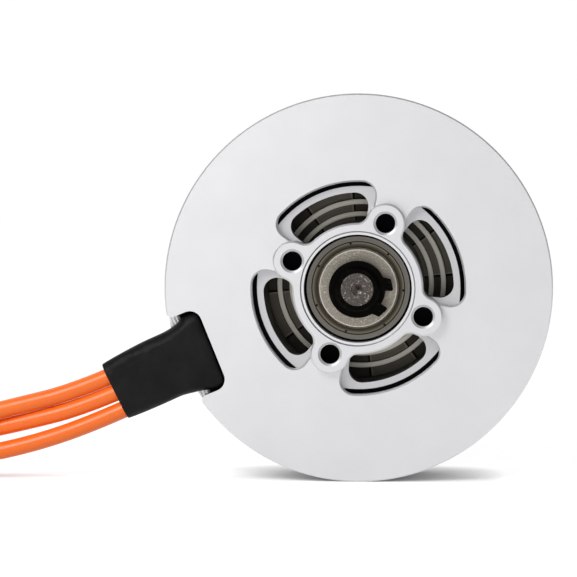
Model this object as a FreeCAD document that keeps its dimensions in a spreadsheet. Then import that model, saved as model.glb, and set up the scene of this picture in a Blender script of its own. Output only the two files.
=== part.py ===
import FreeCAD, Part
import Sketcher
import math
import os
import re

# Waterproof outrunner motor, in millimetres. The shaft runs along Y, the mounting face looks along -Y
# and lies in the plane y = 0, and depths are counted from it into the motor. Z is up.

SIZES = {
    # Base plate, a disc with a deeper rim, and the raised hub that bolts to the airframe
    "plate_radius": 72.0,
    "edge_break": 0.5,
    "rim_depth": 10.0,
    "rim_width": 9.0,
    "web_thickness": 4.0,
    "hub_rise": 4.5,
    "hub_wall": 4.2,
    "hub_edge_break": 0.6,
    "lip_width": 1.35,
    "lip_slope": 0.5,
    "lip_depth": 0.6,
    "base_turn": 22.1,
    # Mounting bosses on the hub
    "boss_offset": 2.05,
    "bolt_hole_radius": 3.4,
    "bolt_hole_depth": 14.0,
    "bolt_hole_chamfer": 1.1,
    "bolt_hole_chamfer_depth": 0.45,
    "boss_radius": 7.3,
    "neck_radius": 4.0,
    # Vent windows: a wide cut through the web, and the narrower opening in the spider behind it
    "slit_width": 1.6,
    "window_half_angle": 32.8,
    "window_corner": 5.0,
    "window_edge_break": 0.6,
    "opening_half_angle": 29.0,
    "opening_corner": 5.0,
    "spider_depth": 12.0,
    # Sleeve of the base plate that carries the stator
    "opening_width": 11.2,
    "sleeve_wall": 2.4,
    "sleeve_past_stack": 2.5,
    # Cable notch in the rim
    "notch_length": 13.6,
    "notch_width": 31.5,
    "notch_depth": 8.0,
    "notch_corner": 4.5,
    "notch_mouth_round": 2.0,
    # Ball bearings, both alike
    "bearing_depth": 6.0,
    "bearing_gap": 6.0,
    "bearing_width": 12.0,
    "bearing_radius": 20.0,
    "bearing_edge": 0.85,
    "bearing_edge_depth": 1.9,
    "outer_land_offset": 2.95,
    "inner_land_offset": 2.05,
    "ball_count": 7.0,
    "ball_radius": 3.37,
    "race_clearance": 0.03,
    "cage_wall": 1.9,
    "cage_width": 8.6,
    "cage_clearance": 0.12,
    "shield_thickness": 0.4,
    "shield_recess": 0.35,
    "shield_clearance": 0.3,
    "crimp_count": 7.0,
    "crimp_radius": 0.42,
    "crimp_depth": 0.25,
    "crimp_inset": 0.5,
    "crimp_turn": 357.0,
    "shoulder_width": 3.0,
    "tube_lip": 0.5,
    # Shaft and what sits on its free end
    "shaft_radius": 8.5,
    "shaft_protrusion": 5.3,
    "shaft_chamfer": 1.0,
    "slip_clearance": 0.02,
    "inner_shoulder_width": 3.0,
    "collar_radius": 15.0,
    "collar_thickness": 1.5,
    "collar_relief": 0.4,
    "collar_edge": 0.6,
    "spacer_wall": 1.8,
    "clip_thickness": 1.2,
    "clip_groove_depth": 0.4,
    "clip_width": 2.0,
    "clip_ear_reach": 4.45,
    "clip_ear_angle": 20.0,
    "clip_ear_slope": 9.0,
    "clip_ear_round": 0.7,
    "clip_gap_half_angle": 14.5,
    "clip_eye_radius": 0.5,
    "clip_eye_reach": 3.0,
    "clip_turn": 343.0,
    "clip_play": 0.1,
    # Countersunk screws: one in the shaft's end, a ring of smaller ones through the bell
    "end_screw_head_radius": 6.0,
    "end_screw_radius": 3.0,
    "end_screw_length": 16.0,
    "end_screw_socket": 4.0,
    "end_screw_socket_depth": 2.6,
    "bell_screw_head_radius": 4.0,
    "bell_screw_radius": 2.0,
    "bell_screw_length": 7.5,
    "bell_screw_socket": 2.5,
    "bell_screw_socket_depth": 1.6,
    "bell_screw_circle": 22.0,
    "bell_screw_count": 6.0,
    "thread_clearance": 0.05,
    # Stator
    "stack_gap": 1.0,
    "stack_length": 18.0,
    "yoke_thickness": 5.6,
    "tooth_count": 36.0,
    "tooth_width": 4.2,
    "slot_mouth": 2.1,
    "shoe_height": 1.5,
    "insulator_thickness": 0.8,
    "glue_gap": 0.05,
    # Coils, one round each tooth
    "coil_gap": 0.25,
    "coil_clearance": 0.25,
    "coil_end_turn": 3.4,
    "coil_round": 2.6,
    "coil_inner_space": 0.8,
    # Rotor: bell, flux ring, magnets
    "bell_inset": 0.6,
    "bell_gap": 0.5,
    "coil_to_bell": 3.05,
    "tube_to_bell": 2.1,
    "bell_wall": 2.0,
    "bell_web": 5.5,
    "bell_chamfer": 2.0,
    "bell_hub_radius": 20.0,
    "bell_hub_rise": 2.4,
    "bell_turn": 21.5,
    "recess_depth": 2.5,
    "recess_inner_radius": 22.5,
    "recess_outer_radius": 60.0,
    "recess_half_angle": 30.0,
    "rib_rise": 1.5,
    "rib_width": 1.8,
    "inner_rib_radius": 26.6,
    "outer_rib_radius": 31.2,
    "prop_circle": 50.0,
    "prop_hole_radius": 2.1,
    "flange_radius": 16.0,
    "flange_thickness": 3.3,
    "flange_proud": 0.3,
    "flange_seat_clearance": 0.05,
    "spigot_radius": 6.5,
    "pilot_radius": 6.0,
    "pilot_length": 5.0,
    "pilot_chamfer": 0.8,
    "flux_ring_wall": 3.45,
    "flux_ring_inset": 0.4,
    "flux_ring_overhang": 4.9,
    "magnet_count": 42.0,
    "magnet_width": 8.0,
    "magnet_thickness": 3.2,
    "air_gap": 0.8,
    # Black boot on the leads
    "boot_wall": 0.95,
    "boot_side_wall": 1.43,
    "boot_floor_gap": 0.1,
    "boot_end_gap": 0.4,
    "boot_side_gap": 0.3,
    "boot_shoulder": 5.2,
    "boot_shoulder_round": 4.0,
    "boot_waist": 13.0,
    "boot_flare": 2.2,
    "boot_waist_drop": 0.7,
    "boot_length": 38.6,
    "boot_mouth_drop": 1.87,
    "boot_mouth_slant": 1.0,
    "boot_waist_round": 8.0,
    "boot_edge_flat": 0.6,
    # Leads and their bullet contacts
    "lead_radius": 3.25,
    "lead_clearance": 0.05,
    "lead_spacing": 0.12,
    "lead_drop": 2.85,
    "lead_angle": 25.0,
    "lead_grip": 16.0,
    "lead_straight": 12.0,
    "floor_gap": 0.25,
    "cup_radius": 4.0,
    "cup_length": 9.0,
    "contact_collar_radius": 4.5,
    "contact_collar_length": 1.5,
    "contact_radius": 3.25,
    "contact_length": 15.0,
    "contact_nose": 1.2,
    "sleeve_thickness": 0.6,
    "sleeve_grip": 8.0,
}

# Places that follow from the sizes: depths behind the mounting face, then radii and plan distances
PLACES = {
    "disc_face": "hub_rise",
    "web_back": "disc_face + web_thickness",
    "rim_back": "disc_face + rim_depth",
    "spider_back": "disc_face + spider_depth",
    "stack_front": "rim_back + stack_gap",
    "stack_back": "stack_front + stack_length",
    "wound_front": "stack_front - insulator_thickness - coil_clearance",
    "wound_length": "stack_length + 2 * insulator_thickness + 2 * coil_clearance",
    "coil_back": "wound_front + wound_length + coil_end_turn",
    "sleeve_end": "stack_back + sleeve_past_stack",
    "base_bearing_back": "bearing_depth + bearing_width",
    "bell_bearing_front": "base_bearing_back + bearing_gap",
    "bell_bearing_back": "bell_bearing_front + bearing_width",
    "tube_end": "bell_bearing_back + tube_lip",
    "bell_edge": "rim_back + bell_gap",
    "bell_inside": "max(coil_back + coil_to_bell; tube_end + tube_to_bell + bell_hub_rise)",
    "bell_face": "bell_inside + bell_web",
    "bell_hub_face": "bell_inside - bell_hub_rise",
    "recess_floor": "bell_inside + recess_depth",
    "rib_top": "bell_inside - rib_rise",
    "flange_seat": "bell_hub_face + flange_thickness - flange_proud",
    "flange_face": "flange_seat - flange_thickness",
    "collar_face": "bearing_depth - collar_thickness",
    "shaft_end": "0 - shaft_protrusion",
    "clip_front": "shaft_end + shaft_chamfer + clip_groove_depth",
    "clip_back": "clip_front + clip_thickness",
    "flux_ring_front": "bell_edge + flux_ring_inset",
    "flux_ring_back": "stack_back + flux_ring_overhang",
    "hub_radius": "bearing_radius + hub_wall",
    "lip_radius": "bearing_radius + lip_width",
    "shoulder_radius": "bearing_radius - shoulder_width",
    "bolt_radius": "hub_radius + boss_offset",
    "sleeve_inner_radius": "hub_radius + opening_width",
    "sleeve_radius": "sleeve_inner_radius + sleeve_wall",
    "window_radius": "sleeve_radius + slit_width",
    "notch_reach": "plate_radius - notch_length",
    "ball_path_radius": "(shaft_radius + bearing_radius) / 2",
    "outer_land_radius": "ball_path_radius + outer_land_offset",
    "inner_land_radius": "ball_path_radius - inner_land_offset",
    "inner_shoulder_radius": "shaft_radius + inner_shoulder_width",
    "clip_radius": "shaft_radius + clip_width",
    "clip_ear_radius": "shaft_radius + clip_ear_reach",
    "core_bore": "sleeve_radius + glue_gap",
    "yoke_radius": "core_bore + yoke_thickness",
    "bell_radius": "plate_radius - bell_inset",
    "bell_bore": "bell_radius - bell_wall",
    "flux_ring_radius": "bell_bore - glue_gap",
    "flux_ring_bore": "flux_ring_radius - flux_ring_wall",
    "magnet_back": "sqrt((flux_ring_bore - glue_gap)^2 - (magnet_width / 2)^2)",
    "magnet_face": "magnet_back - magnet_thickness",
    "stator_radius": "magnet_face - air_gap",
    "shoe_width": "2 * stator_radius * tan(180 / tooth_count) - slot_mouth",
    "boot_inner": "notch_reach + boot_end_gap",
    "boot_back": "disc_face + notch_depth - boot_floor_gap",
    "boot_thickness": "2 * (lead_radius + boot_wall)",
    "boot_edge_round": "boot_thickness / 2 - boot_edge_flat",
    "boot_front": "boot_back - boot_thickness",
    "boot_mouth_width": "6 * lead_radius + 2 * lead_spacing + 2 * boot_side_wall",
    "boot_waist_width": "boot_mouth_width + boot_flare",
    "boot_mouth": "boot_inner + boot_length",
    "sleeve_outer_radius": "cup_radius + lead_clearance + sleeve_thickness",
    "rest_height": "sleeve_outer_radius + floor_gap - plate_radius",
}

# How the three leads lie after their straight start: for each its place across the boot's mouth, then
# points as distance to the left, distance sideways and share of the way down to the floor
LEAD_LAYS = {
    "u": (1, [(28.4, -1.0, 0.249), (56.9, -3.0, 0.48), (85.9, -6.4, 0.745), (113.9, -9.1, 0.963),
              (139.9, -9.8, 1.0), (163.9, -9.8, 1.0)]),
    "v": (0, [(28.2, 1.2, 0.322), (56.7, 3.2, 0.584), (85.7, 6.6, 0.87), (113.7, 9.2, 0.99),
              (139.7, 10.0, 1.0), (163.7, 10.0, 1.0)]),
    "w": (-1, [(29.0, -0.2, 0.59), (57.5, -0.4, 0.89), (85.5, 0.4, 0.99), (113.5, -0.3, 1.0),
               (140.5, 0.1, 1.0), (164.5, 0.1, 1.0)]),
}
ARC_SHARE = 0.45
FULL_TURN = 360.0
WINDOW_COUNT = 4
BOSS_ANGLE = 45.0

doc = FreeCAD.newDocument("motor")
sheet = doc.addObject("Spreadsheet::Sheet", "Sizes")
for row, (alias, number) in enumerate(SIZES.items(), 1):
    sheet.set(f"A{row}", alias)
    sheet.set(f"B{row}", str(number))
    sheet.setAlias(f"B{row}", alias)
doc.recompute()

subparts = []


def cells(expression):
    """The expression with places written out and each alias as a reference to the sheet."""
    return re.sub(r"[a-z][a-z_]*", lambda word: cell(word[0]), expression)


def cell(word):
    if word in PLACES:
        return f"({cells(PLACES[word])})"
    return f"Sizes.{word}" if word in SIZES else word


def size(expression):
    """The number that an expression of the sizes gives now."""
    return float(sheet.evalExpression(cells(expression)))


def bind(item, path, expression):
    """Ties one property to an expression of the sizes."""
    item.setExpression(path, cells(expression))


def new_body(label, turn=None):
    """An empty body, turned anticlockwise as seen from the mounting side where a turn is given."""
    body = doc.addObject("PartDesign::Body", label)
    body.Label = label
    if turn:
        about_shaft = FreeCAD.Rotation(FreeCAD.Vector(0, -1, 0), 1)
        body.Placement = FreeCAD.Placement(FreeCAD.Vector(), about_shaft)
        bind(body, "Placement.Rotation.Angle", turn)
    return body


def origin_part(body, role):
    """One of the body's own origin planes or axes."""
    return next(part for part in body.Origin.OriginFeatures if part.Role == role)


def new_sketch(body, plane, depth=None, turn=0):
    """A sketch on an origin plane; on the XZ plane a depth moves it into the motor and a turn spins it."""
    sketch = body.newObject("Sketcher::SketchObject", f"{body.Label}_sketch")
    sketch.AttachmentSupport = [(origin_part(body, plane), "")]
    sketch.MapMode = "FlatFace"
    spin = FreeCAD.Rotation(FreeCAD.Vector(0, 0, 1), turn)
    sketch.AttachmentOffset = FreeCAD.Placement(FreeCAD.Vector(), spin)
    if depth:
        bind(sketch, "AttachmentOffset.Base.z", f"0 - {depth}")
    return sketch


def hold(sketch, item, point, across, up):
    """Holds one point of a sketch at two expressions, or on an axis where an expression is 0."""
    for kind, axis, expression in (("DistanceX", -2, across), ("DistanceY", -1, up)):
        if expression == "0":
            sketch.addConstraint(Sketcher.Constraint("PointOnObject", item, point, axis))
            continue
        held = Sketcher.Constraint(kind, -1, 1, item, point, size(expression))
        bind(sketch, f"Constraints[{sketch.addConstraint(held)}]", expression)


def outline(sketch, corners):
    """A closed chain of straight edges whose corners are pairs of expressions."""
    points = [FreeCAD.Vector(size(across), size(up), 0) for across, up in corners]
    for start, end in zip(points, points[1:] + points[:1]):
        sketch.addGeometry(Part.LineSegment(start, end))
    for edge, (across, up) in enumerate(corners):
        before = edge - 1 if edge else len(corners) - 1
        sketch.addConstraint(Sketcher.Constraint("Coincident", before, 2, edge, 1))
        hold(sketch, edge, 1, across, up)


def circle(sketch, across, up, radius):
    """One circle held by its centre and radius."""
    centre = FreeCAD.Vector(size(across), size(up), 0)
    ring = sketch.addGeometry(Part.Circle(centre, FreeCAD.Vector(0, 0, 1), size(radius)))
    if across == up == "0":
        sketch.addConstraint(Sketcher.Constraint("Coincident", ring, 3, -1, 1))
    else:
        hold(sketch, ring, 3, across, up)
    held = Sketcher.Constraint("Radius", ring, size(radius))
    bind(sketch, f"Constraints[{sketch.addConstraint(held)}]", radius)


def turned(body, kind, sketch, angle=None):
    """A Revolution or Groove about the motor's axis, whole or centred on the sketch plane."""
    feature = body.newObject(f"PartDesign::{kind}", f"{body.Label}_{kind.lower()}")
    feature.Profile = sketch
    feature.ReferenceAxis = (sketch, ["V_Axis"])
    feature.Angle = FULL_TURN
    if angle:
        feature.Midplane = True
        bind(feature, "Angle", angle)
    return feature


def turn_profile(body, kind, corners, angle=None):
    """A turned feature from a straight-edged profile of (radius, depth) corners."""
    sketch = new_sketch(body, "XY_Plane")
    outline(sketch, corners)
    return turned(body, kind, sketch, angle)


def ring_corners(inner, outer, front, back):
    """The profile of a plain ring."""
    return [(inner, front), (outer, front), (outer, back), (inner, back)]


def extruded(body, kind, sketch, length):
    """A Pad or Pocket from a sketch on the XZ plane, running into the motor."""
    feature = body.newObject(f"PartDesign::{kind}", f"{body.Label}_{kind.lower()}")
    feature.Profile = sketch
    feature.Reversed = kind == "Pad"
    bind(feature, "Length", length)
    return feature


def patterned(body, originals, count):
    """Copies of features all round the motor's axis."""
    pattern = body.newObject("PartDesign::PolarPattern", f"{body.Label}_pattern")
    pattern.Originals = originals
    pattern.Axis = (origin_part(body, "Y_Axis"), [""])
    pattern.Angle = FULL_TURN
    bind(pattern, "Occurrences", count)
    body.Tip = pattern
    return pattern


def dressed(body, kind, wanted, amount):
    """A Fillet or Chamfer on the edges of the body's tip that a test picks."""
    doc.recompute()
    base = body.Tip
    names = [f"Edge{i}" for i, edge in enumerate(base.Shape.Edges, 1) if wanted(edge)]
    if not names:
        raise ValueError(f"{body.Label}: no edge to dress")
    feature = body.newObject(f"PartDesign::{kind}", f"{body.Label}_{kind.lower()}")
    feature.Base = (base, names)
    bind(feature, "Radius" if kind == "Fillet" else "Size", amount)
    return feature


def near(a, b):
    return abs(a - b) < 0.01


def from_axis(point):
    """Distance of a point from the motor's axis."""
    return math.hypot(point.x, point.z)


def runs_deep(edge):
    """True for a straight edge parallel to the motor's axis."""
    if not isinstance(edge.Curve, Part.Line):
        return False
    return near(abs(edge.Curve.Direction.y), 1)


def at_depth(edge, depth):
    """True for an edge that lies wholly at one depth."""
    return near(edge.BoundBox.YMin, depth) and near(edge.BoundBox.YMax, depth)


def finish(body):
    subparts.append(body)
    return body


# Base plate: turned disc, milled windows, hub tube, bosses, bearing seats, bolt holes, cable notch
def base_plate():
    body = new_body("base_plate", "base_turn")
    rim_inner = "plate_radius - rim_width"
    turn_profile(body, "Revolution", [
        ("shoulder_radius", "disc_face"),
        ("plate_radius - edge_break", "disc_face"),
        ("plate_radius", "disc_face + edge_break"),
        ("plate_radius", "rim_back"),
        (rim_inner, "rim_back"),
        (rim_inner, "web_back"),
        ("shoulder_radius", "web_back"),
    ])
    window = turn_profile(body, "Groove", ring_corners(
        "bearing_radius", "window_radius", "disc_face - edge_break", "web_back + edge_break"),
        "2 * window_half_angle")
    patterned(body, [window], str(WINDOW_COUNT))
    dressed(body, "Fillet", lambda e: runs_deep(e) and near(from_axis(e.CenterOfMass), size("window_radius")),
            "window_corner")
    turn_profile(body, "Revolution", ring_corners(
        "shoulder_radius", "sleeve_radius", "web_back", "spider_back"))
    opening = turn_profile(body, "Groove", ring_corners(
        "bearing_radius", "sleeve_inner_radius", "web_back - edge_break", "spider_back + edge_break"),
        "2 * opening_half_angle")
    patterned(body, [opening], str(WINDOW_COUNT))
    dressed(body, "Fillet", opening_corner_edge, "opening_corner")
    turn_profile(body, "Revolution", ring_corners(
        "sleeve_inner_radius", "sleeve_radius", "spider_back", "sleeve_end"))
    turn_profile(body, "Revolution", ring_corners("shoulder_radius", "hub_radius", "0", "tube_end"))
    boss_sketch = new_sketch(body, "XZ_Plane", turn=BOSS_ANGLE)
    boss_outline(boss_sketch)
    boss = extruded(body, "Pad", boss_sketch, "spider_back")
    patterned(body, [boss], str(WINDOW_COUNT))
    turn_profile(body, "Groove", [
        ("0", "shaft_end"),
        ("lip_radius", "shaft_end"),
        ("lip_radius", "0"),
        ("lip_radius - lip_slope", "lip_depth"),
        ("bearing_radius", "lip_depth"),
        ("bearing_radius", "base_bearing_back"),
        ("shoulder_radius", "base_bearing_back"),
        ("shoulder_radius", "bell_bearing_front"),
        ("bearing_radius", "bell_bearing_front"),
        ("bearing_radius", "tube_end + tube_lip"),
        ("0", "tube_end + tube_lip"),
    ])
    hole_sketch = new_sketch(body, "XZ_Plane", turn=BOSS_ANGLE)
    circle(hole_sketch, "bolt_radius", "0", "bolt_hole_radius")
    hole = extruded(body, "Pocket", hole_sketch, "bolt_hole_depth")
    patterned(body, [hole], str(WINDOW_COUNT))
    mouth = dressed(body, "Chamfer", bolt_hole_mouth, "bolt_hole_chamfer")
    mouth.ChamferType = "Two distances"
    bind(mouth, "Size2", "bolt_hole_chamfer_depth")
    notch_sketch = new_sketch(body, "XZ_Plane", "disc_face")
    outline(notch_sketch, [
        ("0 - plate_radius - rim_width", "0 - notch_width / 2"),
        ("0 - notch_reach", "0 - notch_width / 2"),
        ("0 - notch_reach", "notch_width / 2"),
        ("0 - plate_radius - rim_width", "notch_width / 2"),
    ])
    extruded(body, "Pocket", notch_sketch, "notch_depth")
    dressed(body, "Fillet", lambda e: runs_deep(e) and near(e.CenterOfMass.x, -size("notch_reach")),
            "notch_corner")
    dressed(body, "Fillet", notch_mouth_edge, "notch_mouth_round")
    dressed(body, "Chamfer", window_rim_edge, "window_edge_break")
    dressed(body, "Chamfer", hub_rim_edge, "hub_edge_break")
    return finish(body)


def opening_corner_edge(edge):
    """Corners of the four openings in the spider."""
    return runs_deep(edge) and near(from_axis(edge.CenterOfMass), size("sleeve_inner_radius"))


def boss_outline(sketch):
    """One boss with the hollow necks that run into the hub, closed by a chord inside the hub's wall."""
    hub, boss, neck = size("hub_radius"), size("boss_radius"), size("neck_radius")
    reach = size("bolt_radius")
    across = ((hub + neck) ** 2 - (boss + neck) ** 2 + reach ** 2) / (2 * reach)
    up = math.sqrt((hub + neck) ** 2 - across ** 2)
    on_hub = math.atan2(up, across)
    on_boss = math.atan2(up, across - reach)
    normal = FreeCAD.Vector(0, 0, 1)
    upper_neck = Part.Circle(FreeCAD.Vector(across, up, 0), normal, neck)
    lower_neck = Part.Circle(FreeCAD.Vector(across, -up, 0), normal, neck)
    round_end = Part.Circle(FreeCAD.Vector(reach, 0, 0), normal, boss)
    sketch.addGeometry(Part.ArcOfCircle(upper_neck, on_hub + math.pi, on_boss + math.pi))
    sketch.addGeometry(Part.ArcOfCircle(round_end, -on_boss, on_boss))
    sketch.addGeometry(Part.ArcOfCircle(lower_neck, math.pi - on_boss, math.pi - on_hub))
    chord_end = FreeCAD.Vector(hub * math.cos(on_hub), hub * math.sin(on_hub), 0)
    sketch.addGeometry(Part.LineSegment(FreeCAD.Vector(chord_end.x, -chord_end.y, 0), chord_end))
    sketch.addGeometry(Part.Circle(FreeCAD.Vector(), normal, hub), True)
    sketch.addConstraint(Sketcher.Constraint("Tangent", 0, 2, 1, 2))
    sketch.addConstraint(Sketcher.Constraint("Tangent", 1, 1, 2, 1))
    sketch.addConstraint(Sketcher.Constraint("Coincident", 2, 2, 3, 1))
    sketch.addConstraint(Sketcher.Constraint("Coincident", 3, 2, 0, 1))
    sketch.addConstraint(Sketcher.Constraint("Coincident", 4, 3, -1, 1))
    sketch.addConstraint(Sketcher.Constraint("Tangent", 0, 1, 4))
    sketch.addConstraint(Sketcher.Constraint("Tangent", 2, 2, 4))
    hold(sketch, 1, 3, "bolt_radius", "0")
    for item, radius in ((0, "neck_radius"), (1, "boss_radius"), (2, "neck_radius"), (4, "hub_radius")):
        held = Sketcher.Constraint("Radius", item, size(radius))
        bind(sketch, f"Constraints[{sketch.addConstraint(held)}]", radius)


def bolt_hole_mouth(edge):
    if not isinstance(edge.Curve, Part.Circle) or not at_depth(edge, 0):
        return False
    return near(edge.Curve.Radius, size("bolt_hole_radius"))


def notch_mouth_edge(edge):
    """Outer corners of the notch, where its side walls meet the plate's edge."""
    if not runs_deep(edge) or edge.CenterOfMass.x > 0:
        return False
    on_edge = near(from_axis(edge.CenterOfMass), size("plate_radius"))
    return on_edge and near(abs(edge.CenterOfMass.z), size("notch_width / 2"))


def window_rim_edge(edge):
    """Upper edges of the windows, but not the foot of a boss."""
    if not at_depth(edge, size("disc_face")):
        return False
    middle = edge.valueAt((edge.FirstParameter + edge.LastParameter) / 2)
    if not size("hub_radius") + 1 < from_axis(middle) < size("window_radius") + 0.01:
        return False
    boss_place = size("bolt_radius * cos(45)")
    from_boss = math.hypot(abs(middle.x) - boss_place, abs(middle.z) - boss_place)
    return from_boss > size("boss_radius") + 0.01


def hub_rim_edge(edge):
    """Outline of the raised hub and bosses on the mounting face."""
    if not at_depth(edge, 0):
        return False
    middle = edge.valueAt((edge.FirstParameter + edge.LastParameter) / 2)
    if from_axis(middle) < size("hub_radius") - 0.01:
        return False
    boss_place = size("bolt_radius * cos(45)")
    from_boss = math.hypot(abs(middle.x) - boss_place, abs(middle.z) - boss_place)
    return from_boss > size("boss_radius") - 0.01


# Ball bearings: rings with raceways, shields pressed into the outer ring, ball set and cage
def bearing_ring(label, inner, outer, front, chamfered):
    back = f"({front} + bearing_width)"
    middle = f"{front} + bearing_width / 2"
    body = new_body(label)
    if chamfered == "outer":
        corners = [(inner, front), (f"{outer} - bearing_edge", front),
                   (outer, f"{front} + bearing_edge_depth"), (outer, f"{back} - bearing_edge_depth"),
                   (f"{outer} - bearing_edge", back), (inner, back)]
    else:
        corners = [(f"{inner} + bearing_edge / 2", front), (outer, front), (outer, back),
                   (f"{inner} + bearing_edge / 2", back), (inner, f"{back} - bearing_edge / 2"),
                   (inner, f"{front} + bearing_edge / 2")]
    turn_profile(body, "Revolution", corners)
    raceway = new_sketch(body, "XY_Plane")
    circle(raceway, "ball_path_radius", middle, "ball_radius + race_clearance")
    turned(body, "Groove", raceway)
    return finish(body)


def shield(label, front, crimped):
    body = new_body(label, "crimp_turn" if crimped else None)
    corners = ring_corners("inner_land_radius + shield_clearance", "outer_land_radius", front,
                           f"{front} + shield_thickness")
    turn_profile(body, "Revolution", corners)
    if crimped:
        marks = new_sketch(body, "XZ_Plane", f"({front})")
        circle(marks, "outer_land_radius - crimp_inset", "0", "crimp_radius")
        mark = extruded(body, "Pocket", marks, "crimp_depth")
        patterned(body, [mark], "crimp_count")
    return finish(body)


def ball_set(label, middle):
    body = new_body(label)
    half = new_sketch(body, "XY_Plane")
    centre = FreeCAD.Vector(size("ball_path_radius"), size(middle), 0)
    arc = Part.ArcOfCircle(Part.Circle(centre, FreeCAD.Vector(0, 0, 1), size("ball_radius")),
                           -math.pi / 2, math.pi / 2)
    half.addGeometry(arc)
    half.addGeometry(Part.LineSegment(arc.EndPoint, arc.StartPoint))
    half.addConstraint(Sketcher.Constraint("Coincident", 0, 2, 1, 1))
    half.addConstraint(Sketcher.Constraint("Coincident", 0, 1, 1, 2))
    half.addConstraint(Sketcher.Constraint("PointOnObject", 0, 3, 1))
    half.addConstraint(Sketcher.Constraint("Vertical", 1))
    hold(half, 0, 3, "ball_path_radius", middle)
    held = Sketcher.Constraint("Radius", 0, size("ball_radius"))
    bind(half, f"Constraints[{half.addConstraint(held)}]", "ball_radius")
    ball = body.newObject("PartDesign::Revolution", f"{label}_ball")
    ball.Profile = half
    ball.ReferenceAxis = (half, ["Edge2"])
    ball.Angle = FULL_TURN
    patterned(body, [ball], "ball_count")
    return finish(body)


def ball_cage(label, middle):
    body = new_body(label)
    inner = "ball_path_radius - cage_wall / 2"
    outer = "ball_path_radius + cage_wall / 2"
    turn_profile(body, "Revolution", ring_corners(
        inner, outer, f"{middle} - cage_width / 2", f"{middle} + cage_width / 2"))
    window = new_sketch(body, "YZ_Plane")
    circle(window, middle, "0", "ball_radius + cage_clearance")
    hole = body.newObject("PartDesign::Pocket", f"{label}_pocket")
    hole.Profile = window
    hole.Reversed = True
    bind(hole, "Length", "2 * ball_path_radius")
    patterned(body, [hole], "ball_count")
    return finish(body)


def bearing(name, front):
    back_shield = f"({front} + bearing_width - shield_recess - shield_thickness)"
    middle = f"({front} + bearing_width / 2)"
    bearing_ring(f"{name}_outer_ring", "outer_land_radius", "bearing_radius", front, "outer")
    bearing_ring(f"{name}_inner_ring", "shaft_radius", "inner_land_radius", front, "inner")
    shield(f"{name}_front_shield", f"({front} + shield_recess)", name == "base_bearing")
    shield(f"{name}_rear_shield", back_shield, False)
    ball_set(f"{name}_balls", middle)
    ball_cage(f"{name}_cage", middle)


# Shaft: ground journal, clip groove and countersunk tapped end, shoulder, bell flange and pilot
def shaft():
    body = new_body("shaft", "bell_turn")
    groove_front = "(clip_front - clip_play)"
    groove_radius = "shaft_radius - clip_groove_depth"
    turn_profile(body, "Revolution", [
        ("0", "shaft_end"),
        ("shaft_radius - shaft_chamfer", "shaft_end"),
        ("shaft_radius", "shaft_end + shaft_chamfer"),
        ("shaft_radius", groove_front),
        (groove_radius, groove_front),
        (groove_radius, "clip_back"),
        ("shaft_radius", "clip_back"),
        ("shaft_radius", "bell_bearing_back"),
        ("inner_shoulder_radius", "bell_bearing_back"),
        ("inner_shoulder_radius", "flange_face"),
        ("flange_radius", "flange_face"),
        ("flange_radius", "flange_seat"),
        ("spigot_radius", "flange_seat"),
        ("spigot_radius", "bell_face"),
        ("pilot_radius", "bell_face"),
        ("pilot_radius", "bell_face + pilot_length - pilot_chamfer"),
        ("pilot_radius - pilot_chamfer", "bell_face + pilot_length"),
        ("0", "bell_face + pilot_length"),
    ])
    hole_radius = "(end_screw_radius + thread_clearance)"
    head_radius = "(end_screw_head_radius + thread_clearance)"
    turn_profile(body, "Groove", [
        ("0", "shaft_end"),
        (head_radius, "shaft_end"),
        (hole_radius, f"shaft_end + {head_radius} - {hole_radius}"),
        (hole_radius, "shaft_end + end_screw_length + shaft_chamfer"),
        ("0", "shaft_end + end_screw_length + shaft_chamfer"),
    ])
    holes = new_sketch(body, "XZ_Plane", "flange_face")
    circle(holes, "bell_screw_circle / 2", "0", "bell_screw_radius + thread_clearance")
    hole = extruded(body, "Pocket", holes, "flange_thickness")
    patterned(body, [hole], "bell_screw_count")
    return finish(body)


# Rings on the shaft: spacer between the bearings, light collar, black spacer sleeve
def shaft_rings():
    bore = "shaft_radius + slip_clearance"
    spacer = new_body("bearing_spacer")
    turn_profile(spacer, "Revolution", ring_corners(
        bore, "inner_shoulder_radius", "base_bearing_back", "bell_bearing_front"))
    finish(spacer)
    collar = new_body("shaft_collar")
    turn_profile(collar, "Revolution", [
        (bore, "collar_face"),
        ("collar_radius - collar_edge", "collar_face"),
        ("collar_radius", "collar_face + collar_edge"),
        ("collar_radius", "bearing_depth - collar_relief"),
        ("inner_land_radius", "bearing_depth - collar_relief"),
        ("inner_land_radius", "bearing_depth"),
        (bore, "bearing_depth"),
    ])
    finish(collar)
    sleeve = new_body("spacer_sleeve")
    turn_profile(sleeve, "Revolution", ring_corners(
        bore, "shaft_radius + spacer_wall", "clip_back", "collar_face"))
    finish(sleeve)


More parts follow.
